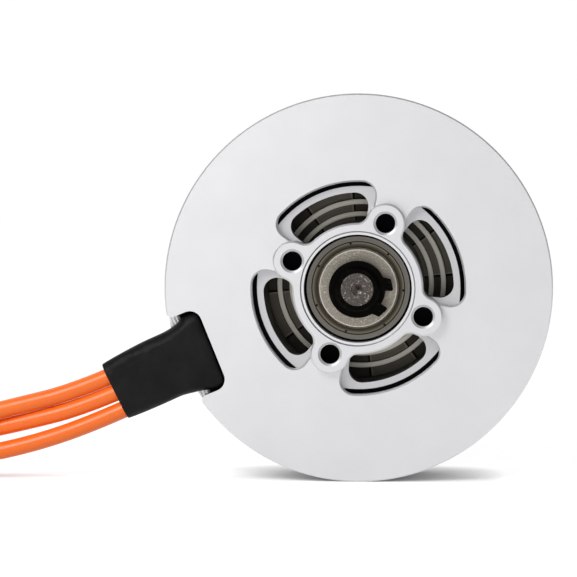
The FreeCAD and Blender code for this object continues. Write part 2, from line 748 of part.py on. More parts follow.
# Retaining clip: a flat ring with a gap, two ears and an eye in each ear
def shaft_clip():
    body = new_body("shaft_clip", "clip_turn")
    inner = "shaft_radius - clip_groove_depth + slip_clearance"
    turn_profile(body, "Revolution", ring_corners(inner, "clip_radius", "clip_front", "clip_back"))
    ear_end = "(clip_gap_half_angle + clip_ear_angle)"
    foot = f"({ear_end} + clip_ear_slope)"
    root = "(clip_radius - clip_groove_depth)"
    ears = new_sketch(body, "XZ_Plane", "clip_front")
    outline(ears, [
        (f"{root} * cos({foot})", f"0 - {root} * sin({foot})"),
        (f"clip_ear_radius * cos({ear_end})", f"0 - clip_ear_radius * sin({ear_end})"),
        ("clip_ear_radius", "0 - clip_ear_radius * tan(clip_gap_half_angle)"),
        ("clip_ear_radius", "clip_ear_radius * tan(clip_gap_half_angle)"),
        (f"clip_ear_radius * cos({ear_end})", f"clip_ear_radius * sin({ear_end})"),
        (f"{root} * cos({foot})", f"{root} * sin({foot})"),
    ])
    extruded(body, "Pad", ears, "clip_thickness")
    gap = ring_corners("shaft_radius / 2", "clip_ear_radius + clip_thickness",
                       "clip_front - clip_play", "clip_back + clip_play")
    turn_profile(body, "Groove", gap, "2 * clip_gap_half_angle")
    bore = ring_corners("0", inner, "clip_front - clip_play", "clip_back + clip_play")
    turn_profile(body, "Groove", bore)
    dressed(body, "Fillet", ear_corner_edge, "clip_ear_round")
    eye_angle = "(clip_gap_half_angle + clip_ear_angle / 2)"
    eye_reach = "(shaft_radius + clip_eye_reach)"
    eyes = new_sketch(body, "XZ_Plane", "clip_front")
    for side in ("", "0 - "):
        circle(eyes, f"{eye_reach} * cos({eye_angle})", f"{side}{eye_reach} * sin({eye_angle})",
               "clip_eye_radius")
    extruded(body, "Pocket", eyes, "clip_thickness")
    return finish(body)


def ear_corner_edge(edge):
    """Outer corners of the clip's two ears."""
    return runs_deep(edge) and from_axis(edge.CenterOfMass) > size("clip_ear_radius") - 0.01


# Countersunk hex socket screws
def countersunk_screw(label, name):
    """A screw with its head's face at depth 0 and its shank running into the motor."""
    body = new_body(label)
    head, shank, length = f"{name}_head_radius", f"{name}_radius", f"{name}_length"
    turn_profile(body, "Revolution", [
        ("0", "0"),
        (head, "0"),
        (shank, f"{head} - {shank}"),
        (shank, length),
        ("0", length),
    ])
    socket = new_sketch(body, "XZ_Plane")
    reach = f"{name}_socket / (2 * cos(30))"
    corner = [(reach, "0"), (f"{reach} * cos(60)", f"{name}_socket / 2"),
              (f"0 - {reach} * cos(60)", f"{name}_socket / 2"), (f"0 - {reach}", "0"),
              (f"0 - {reach} * cos(60)", f"0 - {name}_socket / 2"),
              (f"{reach} * cos(60)", f"0 - {name}_socket / 2")]
    outline(socket, corner)
    extruded(body, "Pocket", socket, f"{name}_socket_depth")
    return body


def shaft_end_screw():
    body = countersunk_screw("shaft_end_screw", "end_screw")
    bind(body, "Placement.Base.y", "shaft_end")
    return finish(body)


def bell_screws():
    """The ring of screws through the bell, each a copy of one screw turned head outwards."""
    one = countersunk_screw("bell_screw", "bell_screw")
    doc.recompute()
    facing_out = FreeCAD.Rotation(FreeCAD.Vector(0, 0, 1), 180)
    place = FreeCAD.Vector(size("bell_screw_circle / 2"), size("bell_face"), 0)
    count = int(size("bell_screw_count"))
    axis = FreeCAD.Vector(0, -1, 0)
    solids = []
    for i in range(count):
        screw = one.Shape.copy()
        screw.Placement = FreeCAD.Placement(place, facing_out)
        screw.rotate(FreeCAD.Vector(), axis, size("bell_turn") + FULL_TURN * i / count)
        solids.append(screw)
    group = doc.addObject("Part::Feature", "bell_screws")
    group.Label = "bell_screws"
    group.Shape = Part.makeCompound(solids)
    return finish(group)


# Stator: toothed stack of laminations with an insulating plate on each end, and a coil on each tooth
def lamination(label, front, thickness):
    body = new_body(label)
    turn_profile(body, "Revolution", ring_corners(
        "core_bore", "yoke_radius", front, f"{front} + {thickness}"))
    half_tooth, half_shoe = "tooth_width / 2", "shoe_width / 2"
    shoe_foot = "stator_radius - shoe_height"
    tip = "stator_radius + shoe_height"
    tooth_sketch = new_sketch(body, "XZ_Plane", front)
    outline(tooth_sketch, [
        ("yoke_radius - tooth_width / 2", f"0 - {half_tooth}"),
        (f"{shoe_foot} - shoe_height / 2", f"0 - {half_tooth}"),
        (shoe_foot, f"0 - {half_shoe}"),
        (tip, f"0 - {half_shoe}"),
        (tip, half_shoe),
        (shoe_foot, half_shoe),
        (f"{shoe_foot} - shoe_height / 2", half_tooth),
        ("yoke_radius - tooth_width / 2", half_tooth),
    ])
    tooth = extruded(body, "Pad", tooth_sketch, thickness)
    patterned(body, [tooth], "tooth_count")
    turn_profile(body, "Groove", ring_corners(
        "stator_radius", "stator_radius + 3 * shoe_height", f"{front} - glue_gap",
        f"{front} + {thickness} + glue_gap"))
    return finish(body)


def coil_phases():
    """Wedge-shaped coils that share each slot; every third one belongs to the same phase."""
    coil = new_body("coil")
    half_pitch = "(180 / tooth_count)"
    inner = "(yoke_radius + coil_inner_space)"
    outer = "(stator_radius - 2 * shoe_height - coil_clearance)"
    side = "tan(%s) - coil_gap / 2" % half_pitch
    wedge = new_sketch(coil, "XZ_Plane", "(wound_front - coil_end_turn)")
    outline(wedge, [
        (inner, f"0 - ({inner} * {side})"),
        (outer, f"0 - ({outer} * {side})"),
        (outer, f"{outer} * {side}"),
        (inner, f"{inner} * {side}"),
    ])
    extruded(coil, "Pad", wedge, "wound_length + 2 * coil_end_turn")
    half_eye = "tooth_width / 2 + coil_clearance"
    eye = new_sketch(coil, "YZ_Plane")
    outline(eye, [
        ("wound_front", f"0 - ({half_eye})"),
        ("wound_front + wound_length", f"0 - ({half_eye})"),
        ("wound_front + wound_length", half_eye),
        ("wound_front", half_eye),
    ])
    window = coil.newObject("PartDesign::Pocket", "coil_window")
    window.Profile = eye
    window.Reversed = True
    bind(window, "Length", "plate_radius")
    dressed(coil, "Fillet", end_turn_edge, "coil_round")
    doc.recompute()
    axis = FreeCAD.Vector(0, -1, 0)
    teeth = int(size("tooth_count"))
    phases = ("u", "v", "w")
    for first, phase in enumerate(phases):
        group = doc.addObject("Part::Feature", f"coils_phase_{phase}")
        group.Label = f"coils_phase_{phase}"
        solids = []
        for tooth in range(first, teeth, len(phases)):
            turn = coil.Shape.copy()
            turn.rotate(FreeCAD.Vector(), axis, FULL_TURN * tooth / teeth)
            solids.append(turn)
        group.Shape = Part.makeCompound(solids)
        finish(group)


def end_turn_edge(edge):
    """Outer long corners of a coil's two end turns."""
    ends = [vertex.Point for vertex in edge.Vertexes]
    if len(ends) < 2 or not near(ends[0].y, ends[1].y) or near(ends[0].x, ends[1].x):
        return False
    return abs(ends[0].z) > size("tooth_width / 2 + coil_clearance") + 0.01


# Rotor: bell with ribbed web, flux ring glued inside it and the magnets on the ring
def bell():
    body = new_body("bell", "bell_turn")
    bore = "spigot_radius + slip_clearance"
    seat = "flange_radius + flange_seat_clearance"
    turn_profile(body, "Revolution", [
        (bore, "bell_face"),
        ("bell_radius - bell_chamfer", "bell_face"),
        ("bell_radius", "bell_face - bell_chamfer"),
        ("bell_radius", "bell_edge"),
        ("bell_bore", "bell_edge"),
        ("bell_bore", "bell_inside"),
        ("bell_hub_radius", "bell_inside"),
        ("bell_hub_radius", "bell_hub_face"),
        (seat, "bell_hub_face"),
        (seat, "flange_seat"),
        (bore, "flange_seat"),
    ])
    recess_sketch = ring_corners("recess_inner_radius", "recess_outer_radius", "rib_top", "recess_floor")
    recess = turn_profile(body, "Groove", recess_sketch, "2 * recess_half_angle")
    patterned(body, [recess], str(WINDOW_COUNT))
    for radius in ("inner_rib_radius", "outer_rib_radius"):
        turn_profile(body, "Revolution", ring_corners(
            f"{radius} - rib_width / 2", f"{radius} + rib_width / 2", "rib_top", "recess_floor + rib_rise"))
    prop_sketch = new_sketch(body, "XZ_Plane", "rib_top", BOSS_ANGLE)
    circle(prop_sketch, "prop_circle / 2", "0", "prop_hole_radius")
    prop_hole = extruded(body, "Pocket", prop_sketch, "bell_web + 2 * rib_rise")
    patterned(body, [prop_hole], str(WINDOW_COUNT))
    screw_sketch = new_sketch(body, "XZ_Plane", "bell_inside")
    circle(screw_sketch, "bell_screw_circle / 2", "0", "bell_screw_radius + thread_clearance")
    screw_hole = extruded(body, "Pocket", screw_sketch, "bell_web + rib_rise")
    patterned(body, [screw_hole], "bell_screw_count")
    dressed(body, "Chamfer", bell_screw_mouth, "bell_screw_head_radius - bell_screw_radius")
    return finish(body)


def bell_screw_mouth(edge):
    if not isinstance(edge.Curve, Part.Circle) or not at_depth(edge, size("bell_face")):
        return False
    return near(edge.Curve.Radius, size("bell_screw_radius + thread_clearance"))


def flux_ring():
    body = new_body("flux_ring")
    turn_profile(body, "Revolution", ring_corners(
        "flux_ring_bore", "flux_ring_radius", "flux_ring_front", "flux_ring_back"))
    return finish(body)


def magnets():
    body = new_body("magnets")
    block_sketch = new_sketch(body, "XZ_Plane", "stack_front")
    outline(block_sketch, [
        ("magnet_face", "0 - magnet_width / 2"),
        ("magnet_back", "0 - magnet_width / 2"),
        ("magnet_back", "magnet_width / 2"),
        ("magnet_face", "magnet_width / 2"),
    ])
    block = extruded(body, "Pad", block_sketch, "stack_length")
    patterned(body, [block], "magnet_count")
    return finish(body)


# Boot: black sleeve that fills the notch and narrows to a flat oval round the three leads
def lead_boot():
    body = new_body("lead_boot_blank", "base_turn")
    half_notch = "(notch_width / 2 - boot_side_gap)"
    shoulder = "(boot_inner + boot_shoulder)"
    waist = "(boot_inner + boot_waist)"
    plan = new_sketch(body, "XZ_Plane", "boot_front")
    outline(plan, [
        ("0 - boot_inner", f"0 - {half_notch}"),
        ("0 - boot_inner", half_notch),
        (f"0 - {shoulder}", half_notch),
        (f"0 - {waist}", "boot_waist_width / 2 - boot_waist_drop"),
        ("0 - boot_mouth - boot_mouth_slant", "boot_mouth_width / 2 - boot_mouth_drop"),
        ("0 - boot_mouth + boot_mouth_slant", "0 - boot_mouth_width / 2 - boot_mouth_drop"),
        (f"0 - {waist}", "0 - boot_waist_width / 2 - boot_waist_drop"),
        (f"0 - {shoulder}", f"0 - {half_notch}"),
    ])
    extruded(body, "Pad", plan, "boot_thickness")
    dressed(body, "Fillet", lambda e: runs_deep(e) and near(e.CenterOfMass.x, -size("boot_inner")),
            "notch_corner - boot_side_gap")
    dressed(body, "Fillet", lambda e: runs_deep(e) and near(e.CenterOfMass.x, -size(shoulder)),
            "boot_shoulder_round")
    dressed(body, "Fillet", lambda e: runs_deep(e) and near(e.CenterOfMass.x, -size(waist)),
            "boot_waist_round")
    dressed(body, "Fillet", boot_long_edge, "boot_edge_round")
    doc.recompute()
    hollow = body.Shape.copy()
    for phase in LEAD_LAYS:
        start, bend = lead_route(phase)[:2]
        bore = Part.makeCylinder(size("lead_radius + lead_clearance"), start.distanceToPoint(bend),
                                 start, bend - start)
        hollow = hollow.cut(bore)
    boot = doc.addObject("Part::Feature", "lead_boot")
    boot.Label = "lead_boot"
    boot.Shape = hollow
    return finish(boot)


def boot_long_edge(edge):
    """Front and back outline of the boot, all but the edges of its mouth."""
    if runs_deep(edge):
        return False
    mouth = size("boot_mouth - boot_mouth_slant")
    return edge.CenterOfMass.x > -mouth + 0.5


# Leads: tubes along straight runs joined by arcs as large as the runs allow
def lead_route(phase):
    """Corner points of one lead, from inside the boot to its end near the floor."""
    across, lay = LEAD_LAYS[phase]
    turn, angle = math.radians(size("base_turn")), math.radians(size("lead_angle"))
    out, up = size("boot_mouth"), -size("lead_drop")
    middle = size("(boot_front + boot_back) / 2")
    mouth = FreeCAD.Vector(-out * math.cos(turn) - up * math.sin(turn), middle,
                           up * math.cos(turn) - out * math.sin(turn))
    along = FreeCAD.Vector(-math.cos(angle), 0, -math.sin(angle))
    aside = FreeCAD.Vector(-math.sin(angle), 0, math.cos(angle))
    exit_point = mouth + aside * (across * size("2 * lead_radius + lead_spacing"))
    bend = exit_point + along * size("lead_straight")
    drop = bend.z - size("rest_height")
    points = [exit_point - along * size("lead_grip"), bend]
    for left, sideways, share in lay:
        points.append(bend + FreeCAD.Vector(-left, sideways, -drop * share))
    return points


def lead_path(label, route):
    edges = []
    start = route[0]
    for before, corner, after in zip(route, route[1:], route[2:]):
        back, ahead = (before - corner).normalize(), (after - corner).normalize()
        half_turn = (math.pi - back.getAngle(ahead)) / 2
        reach = ARC_SHARE * min(corner.distanceToPoint(before), corner.distanceToPoint(after))
        radius = reach / math.tan(half_turn)
        print(f"{label}: bend radius {radius:.0f} mm at x {corner.x:.0f}")
        enter, leave = corner + back * reach, corner + ahead * reach
        inwards = (back + ahead).normalize()
        middle = corner + inwards * (radius / math.cos(half_turn) - radius)
        edges.append(Part.LineSegment(start, enter).toShape())
        edges.append(Part.Arc(enter, middle, leave).toShape())
        start = leave
    edges.append(Part.LineSegment(start, route[-1]).toShape())
    return Part.Wire(edges)


def lead(phase, route):
    label = f"lead_{phase}"
    path = lead_path(label, route)
    section = Part.makeCircle(size("lead_radius"), route[0], route[1] - route[0])
    tube = path.makePipeShell([Part.Wire([section])], True, False)
    swept = math.pi * size("lead_radius") ** 2 * path.Length
    print(f"{label}: length {path.Length:.1f} mm, volume over section times length {tube.Volume / swept:.4f}")
    item = doc.addObject("Part::Feature", label)
    item.Label = label
    item.Shape = tube
    return finish(item)


# Bullet contacts: a soldering cup on the lead's end, a collar and a round pin, with a shrunk sleeve
def place_on_end(body, route):
    """Turns a piece made along the motor's axis so that it runs on from the end of a lead."""
    body.Placement = FreeCAD.Placement(route[-1], FreeCAD.Rotation(FreeCAD.Vector(0, 0, 1), 90))
    return finish(body)


def bullet_contact(phase, route):
    body = new_body(f"contact_{phase}")
    collar_end = "(cup_length + contact_collar_length)"
    turn_profile(body, "Revolution", [
        ("0", "0"),
        ("cup_radius", "0"),
        ("cup_radius", "cup_length"),
        ("contact_collar_radius", "cup_length"),
        ("contact_collar_radius", collar_end),
        ("contact_radius", collar_end),
        ("contact_radius", f"{collar_end} + contact_length - contact_nose"),
        ("contact_radius - contact_nose", f"{collar_end} + contact_length"),
        ("0", f"{collar_end} + contact_length"),
    ])
    return place_on_end(body, route)


def contact_sleeve(phase, route):
    body = new_body(f"contact_sleeve_{phase}")
    on_lead = "(lead_radius + lead_clearance)"
    on_cup = "(cup_radius + lead_clearance)"
    taper = "2 * sleeve_thickness"
    turn_profile(body, "Revolution", [
        (on_lead, "0 - sleeve_grip"),
        (f"{on_lead} + sleeve_thickness", "0 - sleeve_grip"),
        (f"{on_lead} + sleeve_thickness", f"0 - {taper}"),
        (f"{on_cup} + sleeve_thickness", "lead_clearance"),
        (f"{on_cup} + sleeve_thickness", "cup_length - lead_clearance"),
        (on_cup, "cup_length - lead_clearance"),
        (on_cup, "0 - lead_clearance"),
        (on_lead, "0 - lead_clearance"),
    ])
    return place_on_end(body, route)


def write_parts():
    doc.recompute()
    for item in doc.Objects:
        if "Invalid" in item.State or "Error" in item.State:
            raise RuntimeError(f"{item.Label} failed: {item.State}")
    os.makedirs("parts", exist_ok=True)
    for part in subparts:
        if part.Shape.isNull() or not part.Shape.isValid():
            raise RuntimeError(f"{part.Label} has no valid shape")
    for part in subparts:
        part.Shape.exportStep(f"parts/{part.Label}.step")
        print(f"{part.Label}: {len(part.Shape.Solids)} solids, {part.Shape.Volume / 1000:.2f} cm3")


base_plate()
bearing("base_bearing", "bearing_depth")
bearing("bell_bearing", "bell_bearing_front")
shaft()
shaft_rings()
shaft_clip()
shaft_end_screw()
lamination("stator_core", "stack_front", "stack_length")
lamination("insulator_base_end", "(stack_front - insulator_thickness)", "insulator_thickness")
lamination("insulator_bell_end", "stack_back", "insulator_thickness")
coil_phases()
bell()
bell_screws()
flux_ring()
magnets()
lead_boot()
for phase in LEAD_LAYS:
    route = lead_route(phase)
    lead(phase, route)
    bullet_contact(phase, route)
    contact_sleeve(phase, route)
write_parts()
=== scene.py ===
import math

import bmesh
import bpy
from mathutils import Matrix, Vector


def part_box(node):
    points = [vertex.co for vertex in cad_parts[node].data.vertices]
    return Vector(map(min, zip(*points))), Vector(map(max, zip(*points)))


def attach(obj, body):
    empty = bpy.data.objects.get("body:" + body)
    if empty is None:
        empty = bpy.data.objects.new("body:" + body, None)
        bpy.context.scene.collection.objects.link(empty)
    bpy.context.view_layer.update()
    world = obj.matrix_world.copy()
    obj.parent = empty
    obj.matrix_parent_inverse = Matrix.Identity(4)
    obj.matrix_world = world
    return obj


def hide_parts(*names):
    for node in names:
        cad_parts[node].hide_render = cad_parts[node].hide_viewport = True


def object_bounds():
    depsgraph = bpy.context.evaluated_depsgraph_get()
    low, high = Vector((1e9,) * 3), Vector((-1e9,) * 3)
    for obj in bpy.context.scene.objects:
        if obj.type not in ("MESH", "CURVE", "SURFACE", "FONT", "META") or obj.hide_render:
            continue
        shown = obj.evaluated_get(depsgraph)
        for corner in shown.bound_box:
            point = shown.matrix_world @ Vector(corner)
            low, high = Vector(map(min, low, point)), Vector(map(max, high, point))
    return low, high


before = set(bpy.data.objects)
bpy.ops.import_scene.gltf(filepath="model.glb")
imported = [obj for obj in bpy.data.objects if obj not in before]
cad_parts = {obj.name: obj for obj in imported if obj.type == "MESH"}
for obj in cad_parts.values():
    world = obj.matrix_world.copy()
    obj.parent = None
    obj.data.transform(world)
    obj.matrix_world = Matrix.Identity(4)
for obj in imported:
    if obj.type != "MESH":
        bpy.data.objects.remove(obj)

cad_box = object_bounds()

# Base plate: one disc turned and milled from an aluminium billet, bead-blasted and clear anodised.
# Its hub and bosses are skimmed afterwards to bolt flat on a mount, and its bolt holes are tapped.
# Shade is painted on its inside, on its windows' ledge, in its holes and in its notch's inner end.
MM = 0.001
# Leaves a place's height along the shaft out of account
ACROSS_SHAFT = (1.0, 0.0, 1.0)
# Nearly all values of a noise pattern lie in this span
NOISE_SPAN = {"From Min": 0.3, "From Max": 0.7}
# Half the width over which one zone of a surface passes into the next
FINE_EDGE = 0.02 * MM
CRISP_EDGE = 0.05 * MM
SOFT_EDGE = 0.1 * MM
FADED_EDGE = 0.3 * MM
BLAST_CLOUD = 14 * MM
# The beads' dimples are about 0.2 mm wide, drawn wider so that they show in the render
BLAST_GRAIN = 0.9 * MM
SKIMMED_DEPTH = 0.25 * MM
LEDGE_DEPTH = 7.8 * MM
LEDGE_RADIUS = 45 * MM
INSIDE_DEPTH = 9.4 * MM
INSIDE_FADE = 0.4 * MM
INSIDE_RADIUS = 38.2 * MM
BOLT_CIRCLE = 26.25 * MM
BOLT_TURN = math.radians(67.1)
BOLT_MOUTH_RADIUS = 4.45 * MM
BOLT_HOLE_RADIUS = 3.7 * MM
TAPPED_DEPTH = 0.35 * MM
THREAD_PITCH = 1.25 * MM
NOTCH_TURN = math.radians(22.1)
NOTCH_FLOOR = (12.4 * MM, 12.6 * MM)
NOTCH_RADIUS = 57 * MM
CUTTER_PITCH = 1.3 * MM
# Where the inner end of the notch, round the boot, is painted near black as shade
NOTCH_SHADE_DEPTH = 5.6 * MM
NOTCH_SHADE_INNER = 56 * MM
NOTCH_SHADE_OUTER = 67 * MM
NOTCH_SHADE_FADE = 0.8 * MM
NOTCH_SHADE_HALF_WIDTH = 17.5 * MM


def linear(colour):
    """The linear colour of an sRGB hex value, as shader sockets take it."""
    shares = [int(colour[start:start + 2], 16) / 255 for start in (1, 3, 5)]
    return [s / 12.92 if s <= 0.04045 else ((s + 0.055) / 1.055) ** 2.4 for s in shares] + [1.0]


def new_material(name, sockets):
    """A new material and its node tree, with even values set on its shader's own sockets."""
    material = bpy.data.materials.new(name)
    material.use_nodes = True
    tree = material.node_tree
    for socket, value in sockets.items():
        tree.nodes["Principled BSDF"].inputs[socket].default_value = value
    return material, tree


def add_node(tree, kind, feeds=None, output=None, **settings):
    """Adds a shader node with its settings and gives its output, by default the first in use.

    Feeds are plain values, or other nodes' outputs to link, by the input's name or number.
    """
    node = tree.nodes.new(f"ShaderNode{kind}")
    for name, value in settings.items():
        setattr(node, name, value)
    for socket, value in (feeds or {}).items():
        if isinstance(value, bpy.types.NodeSocket):
            tree.links.new(value, node.inputs[socket])
        else:
            node.inputs[socket].default_value = value
    if output:
        return node.outputs[output]
    return next(socket for socket in node.outputs if socket.enabled)


def patterned(material, patterns):
    """The material, with patterns linked to its shader's sockets."""
    tree = material.node_tree
    for socket, pattern in patterns.items():
        tree.links.new(pattern, tree.nodes["Principled BSDF"].inputs[socket])
    return material


def dress(material, *nodes):
    """Gives CAD nodes their finished material."""
    for name in nodes:
        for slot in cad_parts[name].material_slots:
            slot.material = material


def layered(tree, colour, shades):
    """A colour under further shades, each covering it where its own pattern or zone is 1."""
    for share, shade in shades:
        # Inputs 6 and 7 are the Mix node's two colours
        colour = add_node(tree, "Mix", {0: share, 6: colour, 7: linear(shade)}, data_type="RGBA")
    return colour


def zone(tree, *ranges):
    """1 where every value lies in its range and 0 elsewhere, as a mask for shades and relief.

    A range is (value, low, high, edge): None leaves a side open, and edge softens it.
    """
    share = None
    for value, low, high, edge in ranges:
        for limit, before, after in ((low, 0.0, 1.0), (high, 1.0, 0.0)):
            if limit is None:
                continue
            side = add_node(tree, "MapRange", {
                "Value": value, "From Min": limit - edge, "From Max": limit + edge,
                "To Min": before, "To Max": after})
            if share is None:
                share = side
            else:
                share = add_node(tree, "Math", {0: share, 1: side}, operation="MULTIPLY")
    return share


def waves(tree, along, pitch):
    """Even waves from -1 to 1, one crest to a pitch."""
    phase = add_node(tree, "Math", {0: along, 1: 2 * math.pi / pitch}, operation="MULTIPLY")
    return add_node(tree, "Math", {0: phase}, operation="SINE")


def shaft_distance(tree, place):
    """How far a place is from the shaft's axis."""
    flat = add_node(tree, "VectorMath", {0: place, 1: ACROSS_SHAFT}, operation="MULTIPLY")
    return add_node(tree, "VectorMath", {0: flat}, operation="LENGTH")


def bolt_distance(tree, place):
    """How far a place is from the nearest of the four bolt holes' axes."""
    turned = add_node(tree, "VectorRotate", {"Vector": place, "Angle": BOLT_TURN},
                      rotation_type="Y_AXIS")
    flat = add_node(tree, "VectorMath", {0: turned, 1: ACROSS_SHAFT}, operation="MULTIPLY")
    folded = add_node(tree, "VectorMath", {0: flat}, operation="ABSOLUTE")
    ahead, aside = (add_node(tree, "VectorMath", {0: folded, 1: axis}, operation="DISTANCE")
                    for axis in ((BOLT_CIRCLE, 0, 0), (0, 0, BOLT_CIRCLE)))
    return add_node(tree, "Math", {0: ahead, 1: aside}, operation="MINIMUM")


def blasted_aluminium():
    """Bead-blasted clear anodised aluminium: even satin grey, no streaks, its grain just felt."""
    material, tree = new_material("bead_blasted_anodised_aluminium", {"Metallic": 1.0})
    place = add_node(tree, "TexCoord", output="Object")
    depth = add_node(tree, "SeparateXYZ", {0: place}, output="Y")
    radius = shaft_distance(tree, place)
    from_bolt = bolt_distance(tree, place)
    lined_up = add_node(tree, "VectorRotate", {"Vector": place, "Angle": NOTCH_TURN},
                        rotation_type="Y_AXIS")
    along, _, across = add_node(tree, "SeparateXYZ", {0: lined_up}).node.outputs
    cloud = add_node(tree, "TexNoise", {"Vector": place, "Scale": 1 / BLAST_CLOUD, "Detail": 3.0})
    skimmed = zone(tree, (depth, None, SKIMMED_DEPTH, SOFT_EDGE))
    shaded_ledge = zone(tree, (depth, LEDGE_DEPTH, None, FADED_EDGE),
                 (radius, None, LEDGE_RADIUS, SOFT_EDGE))
    inside = zone(tree, (depth, INSIDE_DEPTH, None, INSIDE_FADE),
                  (radius, None, INSIDE_RADIUS, CRISP_EDGE))
    shaded_mouths = zone(tree, (from_bolt, None, BOLT_MOUTH_RADIUS, CRISP_EDGE))
    hole_shade_and_thread = zone(tree, (from_bolt, None, BOLT_HOLE_RADIUS, CRISP_EDGE),
                  (depth, TAPPED_DEPTH, None, CRISP_EDGE))
    notch_shade = zone(tree, (along, -NOTCH_SHADE_OUTER, None, NOTCH_SHADE_FADE),
                   (along, None, -NOTCH_SHADE_INNER, SOFT_EDGE),
                   (across, -NOTCH_SHADE_HALF_WIDTH, NOTCH_SHADE_HALF_WIDTH, SOFT_EDGE),
                   (depth, NOTCH_SHADE_DEPTH, None, FADED_EDGE))
    # Painted shade: the windows' ledge, deep behind them, is painted a darker grey, the plate's
    # inside darker still, the holes' countersunk mouths grey and their bores near black, and the
    # inner end of the notch, round the boot, near black
    colour = layered(tree, linear("#D5D5D7"), [
        (cloud, "#DDDDDF"), (skimmed, "#D6D6D8"), (shaded_ledge, "#C3C3C5"), (inside, "#55524B"),
        (shaded_mouths, "#ADADAF"), (hole_shade_and_thread, "#141414"), (notch_shade, "#0D0D0D")])
    grain = add_node(tree, "TexNoise", {"Vector": place, "Scale": 1 / BLAST_GRAIN, "Detail": 2.0})
    roughness = add_node(tree, "MapRange", {"Value": grain, **NOISE_SPAN,
                                            "To Min": 0.42, "To Max": 0.5})
    dimples = add_node(tree, "Bump", {"Height": grain, "Strength": 0.25, "Distance": 0.02 * MM})
    thread = add_node(tree, "Math", {0: waves(tree, depth, THREAD_PITCH), 1: hole_shade_and_thread},
                      operation="MULTIPLY")
    threaded = add_node(tree, "Bump", {"Height": thread, "Strength": 0.8, "Distance": 0.3 * MM,
                                       "Normal": dimples})
    # Ridges of the cutter on the notch's floor, across the leads
    notch = zone(tree, (depth, *NOTCH_FLOOR, FINE_EDGE), (radius, NOTCH_RADIUS, None, SOFT_EDGE))
    ridges = add_node(tree, "Math", {0: waves(tree, along, CUTTER_PITCH), 1: notch},
                      operation="MULTIPLY")
    milled = add_node(tree, "Bump", {"Height": ridges, "Strength": 0.35, "Distance": 0.12 * MM,
                                     "Normal": threaded})
    return patterned(material, {"Base Color": colour, "Roughness": roughness, "Normal": milled})


dress(blasted_aluminium(), "base_plate")

# Bearings: two shielded deep-groove bearings pressed into the base plate's tube, with a turned
# spacer between their inner rings. Rings and balls are hardened and ground, the shields pressed
# from thin sheet and crimped in, and the cages moulded.
FIBRE_LENGTH = 1.2 * MM
# Grinding and turning lines are under 0.2 mm apart, drawn wider so that they show in the render
GRINDING_SPACING = 0.5 * MM
TURNING_SPACING = 0.7 * MM
# How much the rings change a metal's roughness, and the shade of banded steel
RING_SPREAD = 0.15
RING_CONTRAST = 0.25
CRIMP_RADII = (16.2 * MM, 17.2 * MM)
CRIMP_DEPTHS = (6.41 * MM, 6.85 * MM)
# Shades by distance from the shaft, in mm. The shield has painted shade by its inner edge, next
# to the collar, and a dark joint at its outer edge; the ring has that joint and painted shade on
# the chamfer of its outer edge
SHIELD_BANDS = [(12.0, "#2C2822"), (15.3, "#37322A"), (15.96, "#423D34"), (16.4, "#5E584C"),
                (16.8, "#736D60"), (16.95, "#6A6457"), (17.02, "#29251F"), (17.2, "#29251F")]
RING_BANDS = [(17.2, "#29251F"), (17.36, "#29251F"), (17.44, "#6B6863"), (19.1, "#726F6A"),
              (19.2, "#151312"), (19.9, "#151312"), (20.0, "#6B6863")]


def ring_marks(tree, place, spacing):
    """The fine rings that a lathe or a grinding wheel leaves about the shaft."""
    depth = add_node(tree, "SeparateXYZ", {0: place}, output="Y")
    along = add_node(tree, "Math", {0: shaft_distance(tree, place), 1: depth}, operation="ADD")
    return add_node(tree, "TexNoise", {"W": along, "Scale": 1 / spacing, "Detail": 2.0},
                    noise_dimensions="1D")


def ring_finish(tree, marks, rough, relief):
    """The roughness and the relief that follow a metal's rings."""
    roughness = add_node(tree, "MapRange", {"Value": marks, **NOISE_SPAN,
                                            "To Min": rough * (1 - RING_SPREAD),
                                            "To Max": rough * (1 + RING_SPREAD)})
    bump = add_node(tree, "Bump", {"Height": marks, "Strength": 0.4, "Distance": relief})
    return {"Roughness": roughness, "Normal": bump}


def ringed_metal(name, dark, light, rough, spacing, relief):
    """A turned or ground metal: two close shades, a sheen and a relief that follow its rings."""
    material, tree = new_material(name, {"Metallic": 1.0})
    marks = ring_marks(tree, add_node(tree, "TexCoord", output="Object"), spacing)
    colour = layered(tree, linear(dark), [(marks, light)])
    return patterned(material, {"Base Color": colour, **ring_finish(tree, marks, rough, relief)})


def set_stops(ramp, stops):
    """Gives a colour ramp its stops, each a place from 0 to 1 and its shade."""
    while len(ramp.elements) < len(stops):
        ramp.elements.new(1.0)
    for element, (at, shade) in zip(ramp.elements, stops):
        element.position = at
        element.color = linear(shade)


def banded_steel(name, bands, rough, relief):
    """Steel whose shade changes in bands about the shaft, under the fine rings of grinding."""
    material, tree = new_material(name, {"Metallic": 1.0})
    place = add_node(tree, "TexCoord", output="Object")
    first, last = bands[0][0], bands[-1][0]
    share = add_node(tree, "MapRange", {"Value": shaft_distance(tree, place),
                                        "From Min": first * MM, "From Max": last * MM})
    shades = add_node(tree, "ValToRGB", {"Fac": share})
    set_stops(shades.node.color_ramp,
              [((at - first) / (last - first), shade) for at, shade in bands])
    marks = ring_marks(tree, place, GRINDING_SPACING)
    colour = add_node(tree, "Mix", {0: RING_CONTRAST, 6: shades, 7: marks}, data_type="RGBA",
                      blend_type="OVERLAY")
    return patterned(material, {"Base Color": colour, **ring_finish(tree, marks, rough, relief)})


def overlaid(material, shades):
    """The material, with further shades over the colour pattern that it has."""
    tree = material.node_tree
    colour = tree.nodes["Principled BSDF"].inputs["Base Color"].links[0].from_socket
    return patterned(material, {"Base Color": layered(tree, colour, shades)})


